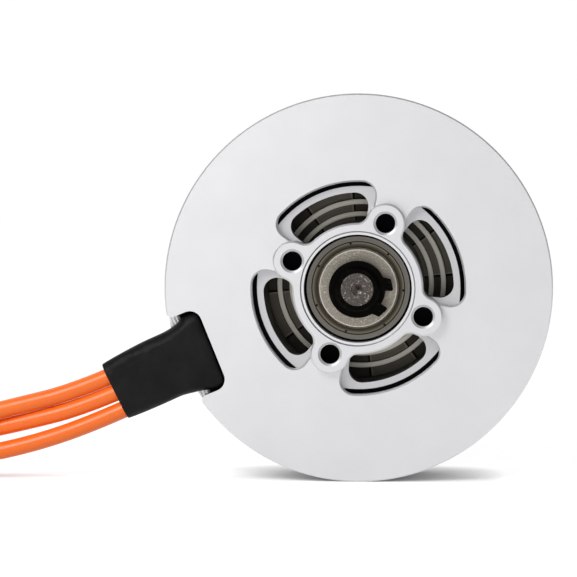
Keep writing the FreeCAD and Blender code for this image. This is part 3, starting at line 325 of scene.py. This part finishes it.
def pressed_shield():
    """Thin pressed sheet: dull brown-grey steel with painted shade at its inner edge and crimps."""
    material = banded_steel("pressed_shield_steel", SHIELD_BANDS, rough=0.36, relief=0.02 * MM)
    tree = material.node_tree
    place = add_node(tree, "TexCoord", output="Object")
    depth = add_node(tree, "SeparateXYZ", {0: place}, output="Y")
    shaded_crimps = zone(tree, (shaft_distance(tree, place), *CRIMP_RADII, FINE_EDGE),
                  (depth, *CRIMP_DEPTHS, FINE_EDGE))
    return overlaid(material, [(shaded_crimps, "#15120F")])


def moulded_polyamide():
    """Moulded glass-filled polyamide: natural ivory with a dull, slightly fibrous skin."""
    material, tree = new_material("moulded_polyamide", {"Specular IOR Level": 0.4})
    place = add_node(tree, "TexCoord", output="Object")
    fibres = add_node(tree, "TexNoise", {"Vector": place, "Scale": 1 / FIBRE_LENGTH, "Detail": 4.0})
    colour = layered(tree, linear("#B9AF97"), [(fibres, "#CDC4AE")])
    roughness = add_node(tree, "MapRange", {"Value": fibres, "To Min": 0.45, "To Max": 0.65})
    return patterned(material, {"Base Color": colour, "Roughness": roughness})


bearing_steel = ringed_metal("ground_bearing_steel", "#625D57", "#77726B", rough=0.28,
                             spacing=GRINDING_SPACING, relief=0.01 * MM)
# Ground outer rings: satin grey, dark at the joint along their inner corner, and with painted shade
# on the chamfer of their outer edge
ring_steel = banded_steel("ground_outer_ring_steel", RING_BANDS, rough=0.28, relief=0.01 * MM)
shield_steel = pressed_shield()
polyamide = moulded_polyamide()
for bearing in ("base_bearing", "bell_bearing"):
    dress(ring_steel, f"{bearing}_outer_ring")
    dress(bearing_steel, f"{bearing}_inner_ring", f"{bearing}_balls")
    dress(shield_steel, f"{bearing}_front_shield", f"{bearing}_rear_shield")
    dress(polyamide, f"{bearing}_cage")
# Turned spacer: clean pale steel, brighter than the rings that it keeps apart
dress(ringed_metal("turned_spacer_steel", "#85827D", "#94918C", rough=0.3, spacing=TURNING_SPACING,
                   relief=0.01 * MM), "bearing_spacer")

# Stator: a stack of punched electrical sheet glued on the base plate's sleeve, with an epoxy-coated
# insulator at each end and a coil of enamelled wire round each tooth.
SHEET_THICKNESS = 0.5 * MM
PEEL_WIDTH = 0.9 * MM
WIRE_DIAMETER = 0.8 * MM


def stacked_laminations():
    """Punched sheets in a stack: dark varnished steel with a line at each sheet's edge."""
    material, tree = new_material("stacked_electrical_steel", {"Metallic": 1.0, "Roughness": 0.45})
    place = add_node(tree, "TexCoord", output="Object")
    depth = add_node(tree, "SeparateXYZ", {0: place}, output="Y")
    sheets = waves(tree, depth, SHEET_THICKNESS)
    colour = layered(tree, linear("#3A3835"), [(sheets, "#55524E")])
    bump = add_node(tree, "Bump", {"Height": sheets, "Strength": 0.6, "Distance": 0.05 * MM})
    return patterned(material, {"Base Color": colour, "Normal": bump})


def epoxy_powder():
    """Epoxy powder baked on the insulators: matt black with a faint orange-peel skin."""
    material, tree = new_material("baked_epoxy_powder", {"Roughness": 0.6,
                                                         "Specular IOR Level": 0.15})
    place = add_node(tree, "TexCoord", output="Object")
    peel = add_node(tree, "TexNoise", {"Vector": place, "Scale": 1 / PEEL_WIDTH, "Detail": 1.0})
    colour = layered(tree, linear("#0C0C0C"), [(peel, "#141313")])
    bump = add_node(tree, "Bump", {"Height": peel, "Strength": 0.3, "Distance": 0.05 * MM})
    return patterned(material, {"Base Color": colour, "Normal": bump})


def enamelled_copper():
    """Wound wire: copper seen through its amber enamel, one rounded ridge for each turn."""
    material, tree = new_material("enamelled_copper_wire", {"Metallic": 1.0, "Roughness": 0.3})
    place = add_node(tree, "TexCoord", output="Object")
    ridges = waves(tree, shaft_distance(tree, place), WIRE_DIAMETER)
    colour = layered(tree, linear("#6B3418"), [(ridges, "#B5622F")])
    bump = add_node(tree, "Bump", {"Height": ridges, "Strength": 0.8, "Distance": 0.2 * MM})
    return patterned(material, {"Base Color": colour, "Normal": bump})


dress(stacked_laminations(), "stator_core")
dress(epoxy_powder(), "insulator_base_end", "insulator_bell_end")
dress(enamelled_copper(), "coils_phase_u", "coils_phase_v", "coils_phase_w")

# Bell: the turned aluminium cup that spins round the stator, with a steel flux ring and a row of
# nickel-plated magnets glued inside its wall. Its inside is painted dark as shade but for the two
# pale ribs of its web, and screws hold it on the shaft's flange.
RIB_TOP = 39.75 * MM
BELL_INSIDE_END = 44.5 * MM
BELL_INSIDE_RADIUS = 69.8 * MM
PLATING_PITCH = 3.6 * MM
# The lathe's feed is about 0.2 mm, drawn wider so that its rings show in the render
LATHE_PITCH = 0.9 * MM
FLAT_COUNT = 4
FLAT_TURN = math.radians(21)
# Shades across a milled flat, by the cosine of the turn that repeats with the flats: painted
# shade, darker in the recesses, and at each flat's edge a painted shade line and painted highlight
FLAT_BANDS = [(0.0, "#3A3833"), (0.42, "#3A3833"), (0.44, "#0E0D0C"), (0.5, "#0E0D0C"),
              (0.53, "#7A756B"), (0.6, "#5F5B53")]


def turned_aluminium():
    """Fine-turned clear anodised aluminium: satin, with the lathe's rings catching the light."""
    material, tree = new_material("fine_turned_anodised_aluminium", {"Metallic": 1.0})
    place = add_node(tree, "TexCoord", output="Object")
    across, depth, up = add_node(tree, "SeparateXYZ", {0: place}).node.outputs
    marks = ring_marks(tree, place, LATHE_PITCH)
    # The web's flats are painted dark as shade, darker in the recesses, with a painted shade line
    # and a painted highlight along each flat's edge
    angle = add_node(tree, "Math", {0: up, 1: across}, operation="ARCTAN2")
    turn = add_node(tree, "Math", {0: angle, 1: FLAT_COUNT, 2: -FLAT_COUNT * FLAT_TURN},
                    operation="MULTIPLY_ADD")
    swing = add_node(tree, "Math", {0: turn}, operation="COSINE")
    shaded_flats = add_node(tree, "ValToRGB", {"Fac": swing})
    set_stops(shaded_flats.node.color_ramp, FLAT_BANDS)
    ribs = zone(tree, (depth, None, RIB_TOP, SOFT_EDGE))
    lining = layered(tree, shaded_flats, [(ribs, "#C5C2B8")])
    outside = layered(tree, linear("#C0C0C2"), [(marks, "#D3D3D5")])
    inside = zone(tree, (depth, None, BELL_INSIDE_END, SOFT_EDGE),
                  (shaft_distance(tree, place), None, BELL_INSIDE_RADIUS, SOFT_EDGE))
    colour = add_node(tree, "Mix", {0: inside, 6: outside, 7: lining}, data_type="RGBA")
    roughness = add_node(tree, "MapRange", {"Value": marks, **NOISE_SPAN,
                                            "To Min": 0.34, "To Max": 0.44})
    bump = add_node(tree, "Bump", {"Height": marks, "Strength": 0.35, "Distance": 0.04 * MM})
    return patterned(material, {"Base Color": colour, "Roughness": roughness, "Normal": bump})


dress(turned_aluminium(), "bell")
# Mild steel left dull by turning, and nickel plate with a soft bright sheen
dress(ringed_metal("turned_flux_ring_steel", "#4C4A48", "#5A5855", rough=0.4, spacing=LATHE_PITCH,
                   relief=0.02 * MM), "flux_ring")
dress(ringed_metal("nickel_plated_magnet", "#A09C94", "#B2AEA6", rough=0.25, spacing=PLATING_PITCH,
                   relief=0.005 * MM), "magnets")

# Shaft: ground steel, blackened where it stands out of the base plate. A tumbled collar, a black
# spacer sleeve and a black spring clip hold it there, and a countersunk socket screw closes it.
SCUFF_WIDTH = 2.5 * MM
# Dents and flecks are about 0.1 mm wide, drawn wider so that they show in the render
COLLAR_FLECK = 0.6 * MM
SCREW_FLECK = 0.7 * MM
DENTS_TO_A_FLECK = 1.6
FLECK_SPREAD = 0.2
# Bands painted lighter: a painted highlight along the collar's chamfered edge, and the screw's
# socket
COLLAR_EDGE = (14.05 * MM, 15.1 * MM)
SCREW_SOCKET = (None, 2.05 * MM)
SOCKET_SLOPE = 0.6
EYE_RADIUS = 11.5 * MM
EYE_TURNS = (math.radians(7.5), math.radians(-41.5))
# Size of the painted shadow spots on the collar
SHADOW_SPOT_RADIUS = 1.2 * MM
SHADOW_SPOT_FADE = 0.2 * MM


def black_oxide():
    """Black oxide on steel: nearly black, with an oiled sheen and small grey scuffs."""
    material, tree = new_material("black_oxide_steel", {"Metallic": 1.0})
    place = add_node(tree, "TexCoord", output="Object")
    scuffs = add_node(tree, "TexNoise", {"Vector": place, "Scale": 1 / SCUFF_WIDTH, "Detail": 5.0})
    lighter_patches = add_node(tree, "MapRange", {"Value": scuffs, "From Min": 0.55, "From Max": 0.75})
    colour = layered(tree, linear("#0B0A09"), [(lighter_patches, "#191715")])
    roughness = add_node(tree, "MapRange", {"Value": scuffs, "To Min": 0.32, "To Max": 0.55})
    return patterned(material, {"Base Color": colour, "Roughness": roughness})


def flecked_steel(name, dark, light, fleck, fleck_width, rough, band, lighter_band_shade, dish):
    """Barrel-tumbled steel: mottled, dull, with bright flecks and a band painted lighter.

    The flecks are partly painted glints. The band is dished into a cone of the given slope.
    """
    material, tree = new_material(name, {"Metallic": 1.0})
    place = add_node(tree, "TexCoord", output="Object")
    dents = add_node(tree, "TexNoise", {"Vector": place, "Scale": DENTS_TO_A_FLECK / fleck_width,
                                        "Detail": 3.0})
    mottle = add_node(tree, "MapRange", {"Value": dents, **NOISE_SPAN})
    grit = add_node(tree, "TexNoise", {"Vector": place, "Scale": 1 / fleck_width, "Detail": 2.0})
    flecks_and_glints = add_node(tree, "MapRange", {"Value": grit, "From Min": 0.58, "From Max": 0.78})
    radius = shaft_distance(tree, place)
    lighter_band_mask = zone(tree, (radius, *band, CRISP_EDGE))
    colour = layered(tree, linear(dark), [(mottle, light), (flecks_and_glints, fleck), (lighter_band_mask, lighter_band_shade)])
    roughness = add_node(tree, "MapRange", {"Value": grit, **NOISE_SPAN,
                                            "To Min": rough * (1 + FLECK_SPREAD),
                                            "To Max": rough * (1 - FLECK_SPREAD)})
    dented = add_node(tree, "Bump", {"Height": dents, "Strength": 0.5, "Distance": 0.1 * MM})
    cone = add_node(tree, "Math", {0: radius, 1: lighter_band_mask}, operation="MULTIPLY")
    dished = add_node(tree, "Bump", {"Height": cone, "Distance": dish, "Normal": dented})
    return patterned(material, {"Base Color": colour, "Roughness": roughness, "Normal": dished})


def spot_shadowed(material, spots):
    """The material, with round painted shadows, nearly black, over the colour that it has."""
    tree = material.node_tree
    place = add_node(tree, "TexCoord", output="Object")
    flat = add_node(tree, "VectorMath", {0: place, 1: ACROSS_SHAFT}, operation="MULTIPLY")
    painted_shadows = []
    for spot in spots:
        away = add_node(tree, "VectorMath", {0: flat, 1: spot}, operation="DISTANCE")
        painted_shadows.append((zone(tree, (away, None, SHADOW_SPOT_RADIUS, SHADOW_SPOT_FADE)), "#12110F"))
    return overlaid(material, painted_shadows)


dress(black_oxide(), "shaft", "spacer_sleeve", "shaft_clip")
# A painted shadow, a dark round spot, lies on the collar behind each of the clip's two eyes
eyes = [(EYE_RADIUS * math.cos(turn), 0.0, EYE_RADIUS * math.sin(turn)) for turn in EYE_TURNS]
collar_steel = flecked_steel("tumbled_collar_steel", dark="#6E685E", light="#A8A297",
                             fleck="#CFC8BC", fleck_width=COLLAR_FLECK, rough=0.34,
                             band=COLLAR_EDGE, lighter_band_shade="#C6C0B4", dish=0.0)
dress(spot_shadowed(collar_steel, eyes), "shaft_collar")
screw_steel = flecked_steel("cold_headed_screw_steel", dark="#38332F", light="#6A6461",
                            fleck="#C6BEB8", fleck_width=SCREW_FLECK, rough=0.32,
                            band=SCREW_SOCKET, lighter_band_shade="#8A807B", dish=SOCKET_SLOPE)
dress(screw_steel, "shaft_end_screw", "bell_screws")

# Leads: three stranded wires in soft orange silicone, side by side out of the boot. They sag to the
# floor and run along it to their gold-plated bullet contacts, each held in a shrunk sleeve.
LEAD_DIAMETER = 6.5 * MM
# Control points of the leads' lines, in mm, from inside the boot to the contacts
LEAD_ROUTES = {
    "u": [(-77.5, 8.2, -26.5), (-102.8, 8.2, -38.4), (-131.2, 7.2, -45.5), (-159.7, 5.2, -52.2),
          (-188.7, 1.8, -59.8), (-216.7, -0.9, -66.0), (-242.7, -1.6, -67.1),
          (-266.7, -1.6, -67.1)],
    "v": [(-74.7, 8.2, -32.35), (-100.0, 8.2, -44.25), (-128.2, 9.4, -51.6), (-156.7, 11.4, -57.6),
          (-185.7, 14.8, -64.1), (-213.7, 17.4, -66.9), (-239.7, 18.2, -67.1),
          (-263.7, 18.2, -67.1)],
    "w": [(-71.9, 8.2, -38.55), (-97.2, 8.2, -50.55), (-126.2, 8.0, -60.3), (-154.7, 7.8, -65.3),
          (-182.7, 8.6, -66.9), (-210.7, 7.9, -67.1), (-237.7, 8.3, -67.1),
          (-261.7, 8.3, -67.1)],
}
BLOOM_WIDTH = 7 * MM
PEBBLE_WIDTH = 1.1 * MM
CREASE_WIDTH = 11 * MM
# The contacts' turning lines are about 0.1 mm apart, drawn wider so that they show in the render
CONTACT_RINGS = 0.5 * MM
# A sleeve's profile, in mm: distance from its end on the lead, distance from its axis
SLEEVE_PROFILE = [(0.0, 3.32), (0.0, 3.74), (0.4, 3.88), (6.0, 3.9), (7.2, 4.22), (8.2, 4.62),
                  (16.2, 4.64), (16.8, 4.52), (16.9, 4.06), (8.1, 4.06), (7.6, 3.32)]


def silicone_rubber():
    """Extruded silicone rubber: saturated orange, a soft sheen and a faint bloom of dust."""
    material, tree = new_material("extruded_silicone_rubber", {"IOR": 1.41,
                                                               "Specular IOR Level": 0.7})
    place = add_node(tree, "TexCoord", output="Object")
    bloom = add_node(tree, "TexNoise", {"Vector": place, "Scale": 1 / BLOOM_WIDTH, "Detail": 4.0})
    colour = layered(tree, linear("#FD6E12"), [(bloom, "#FF7A1C")])
    roughness = add_node(tree, "MapRange", {"Value": bloom, **NOISE_SPAN,
                                            "To Min": 0.26, "To Max": 0.36})
    return patterned(material, {"Base Color": colour, "Roughness": roughness})


def gold_plating():
    """Gold flash over turned brass: warm and bright, with fine turning rings under the plating."""
    material, tree = new_material("gold_plated_turned_brass", {"Metallic": 1.0})
    place = add_node(tree, "TexCoord", output="Object")
    along = add_node(tree, "SeparateXYZ", {0: place}, output="X")
    rings = add_node(tree, "TexNoise", {"W": along, "Scale": 1 / CONTACT_RINGS},
                     noise_dimensions="1D")
    colour = layered(tree, linear("#D9AE5C"), [(rings, "#E6C179")])
    roughness = add_node(tree, "MapRange", {"Value": rings, "To Min": 0.18, "To Max": 0.3})
    return patterned(material, {"Base Color": colour, "Roughness": roughness})


def heat_shrink():
    """Shrunk polyolefin tube: dull black, its skin faintly pebbled and in shallow creases."""
    material, tree = new_material("shrunk_polyolefin_tube", {"Specular IOR Level": 0.15})
    place = add_node(tree, "TexCoord", output="Object")
    pebble = add_node(tree, "TexNoise", {"Vector": place, "Scale": 1 / PEBBLE_WIDTH, "Detail": 3.0})
    crease = add_node(tree, "TexNoise", {"Vector": place, "Scale": 1 / CREASE_WIDTH, "Detail": 2.0})
    # Lighter patches with the creases: partly uneven tone, partly painted sheen
    lighter_patches = add_node(tree, "MapRange", {"Value": crease, "From Min": 0.35, "From Max": 0.65})
    colour = layered(tree, linear("#060606"), [(lighter_patches, "#111111")])
    roughness = add_node(tree, "MapRange", {"Value": pebble, **NOISE_SPAN,
                                            "To Min": 0.42, "To Max": 0.55})
    creased = add_node(tree, "Bump", {"Height": crease, "Strength": 0.8, "Distance": 2.0 * MM})
    pebbled = add_node(tree, "Bump", {"Height": pebble, "Strength": 0.2, "Distance": 0.05 * MM,
                                      "Normal": creased})
    return patterned(material, {"Base Color": colour, "Roughness": roughness, "Normal": pebbled})


def new_object(name, data):
    """A new object in the scene, at the origin."""
    item = bpy.data.objects.new(name, data)
    bpy.context.scene.collection.objects.link(item)
    return item


def new_piece(name, builder, material):
    """A mesh object made from a bmesh and shaded smooth."""
    mesh = bpy.data.meshes.new(name)
    builder.to_mesh(mesh)
    builder.free()
    mesh.shade_smooth()
    mesh.materials.append(material)
    return new_object(name, mesh)


def shrunk_sleeve(phase):
    """The short tube over a contact's cup, spun about the end of its lead."""
    low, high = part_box(f"contact_sleeve_{phase}")
    middle = (low + high) / 2
    builder = bmesh.new()
    corners = [builder.verts.new((high.x - along * MM, middle.y, middle.z + out * MM))
               for along, out in SLEEVE_PROFILE]
    edges = [builder.edges.new(pair) for pair in zip(corners, corners[1:] + corners[:1])]
    bmesh.ops.spin(builder, geom=corners + edges, axis=(1, 0, 0), cent=middle, dvec=(0, 0, 0),
                   angle=2 * math.pi, steps=40, use_merge=True)
    bmesh.ops.remove_doubles(builder, verts=builder.verts, dist=0.001 * MM)
    bmesh.ops.recalc_face_normals(builder, faces=builder.faces)
    return builder


silicone = silicone_rubber()
shrink_tube = heat_shrink()
for phase, route in LEAD_ROUTES.items():
    line = bpy.data.curves.new(f"lead_{phase}_line", "CURVE")
    line.dimensions = "3D"
    line.bevel_depth = LEAD_DIAMETER / 2
    line.bevel_resolution = 7
    line.use_fill_caps = True
    spline = line.splines.new("NURBS")
    spline.points.add(len(route) - 1)
    for point, corner in zip(spline.points, route):
        point.co = (*(Vector(corner) * MM), 1.0)
    spline.order_u = 3
    spline.use_endpoint_u = True
    spline.resolution_u = 12
    line.materials.append(silicone)
    lead = new_object(f"silicone_lead_{phase}", line)
    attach(lead, "stator")
    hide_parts(f"lead_{phase}")
    sleeve = new_piece(f"shrunk_sleeve_{phase}", shrunk_sleeve(phase), shrink_tube)
    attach(sleeve, "stator")
    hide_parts(f"contact_sleeve_{phase}")
dress(gold_plating(), "contact_u", "contact_v", "contact_w")

# Lead boot: a length of black heat-shrink tube over the three leads, flared into the base plate's
# notch at its inner end. It shrank tight towards the mouth, so the leads' rounds show through it.
BOOT_MIDDLE = 8.2 * MM
WAIST_REACH = 76.0 * MM
MOUTH_REACH = 98.8 * MM
MOUTH_SLANT = 1.0 * MM
RING_SEGMENTS = 20
SIDE_CUTS = 17
# At the mouth: the leads' spacing, how far the middle one lies under the boot's line, how deep the
# skin sinks between them, and how far from the boot's middle it has to be to sink
LEAD_PITCH = 6.62 * MM
LEADS_BELOW = 2.85 * MM
RIPPLE = 0.22 * MM
FACE_DISTANCE = LEAD_DIAMETER / 3
# Rings of the skin, in mm: distance from the shaft, upper edge, lower edge, front to back
BOOT_RINGS = [(58.9, 13.2, -12.8, 5.0), (59.3, 14.4, -14.6, 7.2), (60.6, 15.1, -15.3, 8.3),
              (63.6, 15.1, -15.4, 8.4), (65.2, 14.4, -15.0, 8.4), (67.0, 13.3, -14.2, 8.4),
              (69.5, 12.5, -13.7, 8.4), (72.5, 11.9, -13.3, 8.4), (76.0, 11.65, -12.75, 8.4),
              (80.0, 11.6, -13.05, 8.4), (86.0, 11.1, -13.25, 8.3), (92.0, 10.4, -13.4, 8.25),
              (97.9, 9.5, -13.3, 8.2), (98.8, 9.3, -13.2, 7.9), (98.7, 8.6, -12.9, 6.75),
              (90.0, 8.6, -12.9, 6.75)]


def boot_ring(builder, reach, top, bottom, thickness):
    """One closed line round the boot: a circle pulled apart into a flat oval across the leads."""
    radius = thickness / 2 * MM
    known = set(builder.edges)
    facing = (Matrix.Rotation(math.pi / 2, 4, "Y")
              @ Matrix.Rotation(math.pi / RING_SEGMENTS, 4, "Z"))
    circle = bmesh.ops.create_circle(builder, segments=RING_SEGMENTS, radius=radius,
                                     matrix=facing)["verts"]
    upper = [vert for vert in circle if vert.co.z > 0]
    lower = [vert for vert in circle if vert.co.z < 0]
    bmesh.ops.translate(builder, vec=(-reach * MM, BOOT_MIDDLE, top * MM - radius), verts=upper)
    bmesh.ops.translate(builder, vec=(-reach * MM, BOOT_MIDDLE, bottom * MM + radius), verts=lower)
    sides = [edge for edge in builder.edges if edge not in known and edge.calc_length() > radius]
    bmesh.ops.subdivide_edges(builder, edges=sides, cuts=SIDE_CUTS)
    return [edge for edge in builder.edges if edge not in known]


boot_builder = bmesh.new()
rings = [boot_ring(boot_builder, *ring) for ring in BOOT_RINGS]
for ring, after in zip(rings, rings[1:]):
    bmesh.ops.bridge_loops(boot_builder, edges=ring + after)
bmesh.ops.holes_fill(boot_builder, edges=rings[0])
# From waist to mouth the skin sinks more and more between the leads, and turns aslant
for vert in boot_builder.verts:
    share = (-vert.co.x - WAIST_REACH) / (MOUTH_REACH - WAIST_REACH)
    share = min(max(share, 0.0), 1.0)
    across = vert.co.z + LEADS_BELOW * share
    from_middle = vert.co.y - BOOT_MIDDLE
    if abs(from_middle) > FACE_DISTANCE:
        sunk = (1.0 - math.cos(2 * math.pi * across / LEAD_PITCH)) / 2
        vert.co.y -= math.copysign(RIPPLE, from_middle) * share * sunk
    vert.co.x -= MOUTH_SLANT * share * across / (2 * LEAD_PITCH)
bmesh.ops.rotate(boot_builder, cent=(0, 0, 0), matrix=Matrix.Rotation(-NOTCH_TURN, 3, "Y"),
                 verts=boot_builder.verts)
bmesh.ops.recalc_face_normals(boot_builder, faces=boot_builder.faces)
boot = new_piece("heat_shrink_boot", boot_builder, shrink_tube)
smooth = boot.modifiers.new("shrunk_round", "SUBSURF")
smooth.levels = smooth.render_levels = 2
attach(boot, "stator")
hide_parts("lead_boot")

# Floor: a plain white studio sweep that the motor stands on. It shows white to the camera and in
# reflections, like the room round it, and keeps the motor's soft shadow. The light comes from in
# front, so the shade at the contact is measured leaning that way.
FLOOR_SIZE = 6.0
FLOOR_GLOW = 0.61
CONTACT_REACH = 19 * MM
SHADOW_DEPTH = 2.5
SHADOW_LEAN = Vector((-0.2, -0.88, 0.4)).normalized()


def seen_by(tree, *rays):
    """1 for the given kinds of ray, and 0 for all others."""
    kinds = add_node(tree, "LightPath").node.outputs
    seen = kinds[rays[0]]
    for ray in rays[1:]:
        seen = add_node(tree, "Math", {0: seen, 1: kinds[ray]}, operation="MAXIMUM")
    return seen


floor_builder = bmesh.new()
bmesh.ops.create_grid(floor_builder, x_segments=1, y_segments=1, size=FLOOR_SIZE / 2,
                      matrix=Matrix.Translation((0, 0, cad_box[0].z)))
# Plain matt paper: no gloss, only its own even white and the shade on it
paper, tree = new_material("white_studio_paper", {
    "Base Color": linear("#D8D8D8"), "Roughness": 1.0, "Specular IOR Level": 0.0,
    "Emission Color": linear("#FFFFFF")})
leaning = add_node(tree, "CombineXYZ", dict(zip("XYZ", SHADOW_LEAN)))
open_room = add_node(tree, "AmbientOcclusion", {"Distance": CONTACT_REACH, "Normal": leaning},
                     output="AO")
shade = add_node(tree, "Math", {0: open_room, 1: SHADOW_DEPTH}, operation="POWER")
shown = seen_by(tree, "Is Camera Ray", "Is Glossy Ray", "Is Transmission Ray")
white = add_node(tree, "Math", {0: shown, 1: FLOOR_GLOW}, operation="MULTIPLY")
glow = add_node(tree, "Math", {0: white, 1: shade}, operation="MULTIPLY")
patterned(paper, {"Emission Strength": glow})
new_piece("studio_floor", floor_builder, paper)

# Studio room: a white backdrop behind the motor, pale in front of it and grey at the sides, so that
# metal shows the white background with a grey line along its edges.
ROOM_FACING = (0.0, -1.0, 0.0)
ROOM_FRONT = 0.6
ROOM_SIDE = 0.3
ROOM_BACK = 1.0
world = bpy.data.worlds.new("studio_room")
bpy.context.scene.world = world
world.use_nodes = True
tree = world.node_tree
direction = add_node(tree, "TexCoord", output="Generated")
facing = add_node(tree, "VectorMath", {0: direction, 1: ROOM_FACING}, operation="DOT_PRODUCT")
front = add_node(tree, "MapRange", {"Value": facing, "From Min": 0.2, "From Max": 0.8,
                                    "To Min": ROOM_SIDE, "To Max": ROOM_FRONT})
back = add_node(tree, "MapRange", {"Value": facing, "From Min": -0.1, "From Max": -0.5,
                                   "To Min": ROOM_SIDE, "To Max": ROOM_BACK})
room = add_node(tree, "Math", {0: front, 1: back}, operation="MAXIMUM")
shown = seen_by(tree, "Is Camera Ray", "Is Transmission Ray")
level = add_node(tree, "Math", {0: room, 1: shown}, operation="MAXIMUM")
background = tree.nodes["Background"]
background.inputs["Color"].default_value = linear("#FFFFFF")
tree.links.new(level, background.inputs["Strength"])

# Lamp: one round soft box close to the motor, above the camera and to its left. It gives the disc
# its slow fall of light and shades the walls of the windows.
KEY_PLACE = Vector((-0.355, -0.57, 0.42))
KEY_WIDTH = 0.45
KEY_POWER = 3.5
light = bpy.data.lights.new("key_softbox", "AREA")
light.shape = "DISK"
light.size = KEY_WIDTH
light.energy = KEY_POWER
lamp = new_object("key_softbox", light)
lamp.location = KEY_PLACE
lamp.rotation_euler = (-KEY_PLACE).to_track_quat("-Z", "Y").to_euler()

# Camera: a long lens a little to the right of the shaft's line and just above it. Its view takes in
# the disc and the first stretch of the leads.
CAMERA_AIM = Vector((-25.8, 4.5, -0.18)) * MM
CAMERA_DISTANCE = 1.2
CAMERA_AZIMUTH = math.radians(3.4)
CAMERA_ELEVATION = math.radians(3.0)
VIEW_WIDTH = 213.9 * MM
lens = bpy.data.cameras.new("product_camera")
lens.lens = lens.sensor_width * CAMERA_DISTANCE / VIEW_WIDTH
lens.clip_start = 0.05
camera = new_object("product_camera", lens)
towards = Vector((math.sin(CAMERA_AZIMUTH) * math.cos(CAMERA_ELEVATION),
                  -math.cos(CAMERA_AZIMUTH) * math.cos(CAMERA_ELEVATION),
                  math.sin(CAMERA_ELEVATION)))
camera.location = CAMERA_AIM + towards * CAMERA_DISTANCE
camera.rotation_euler = (-towards).to_track_quat("-Z", "Y").to_euler()
bpy.context.scene.camera = camera
bpy.context.scene.view_settings.view_transform = "Standard"
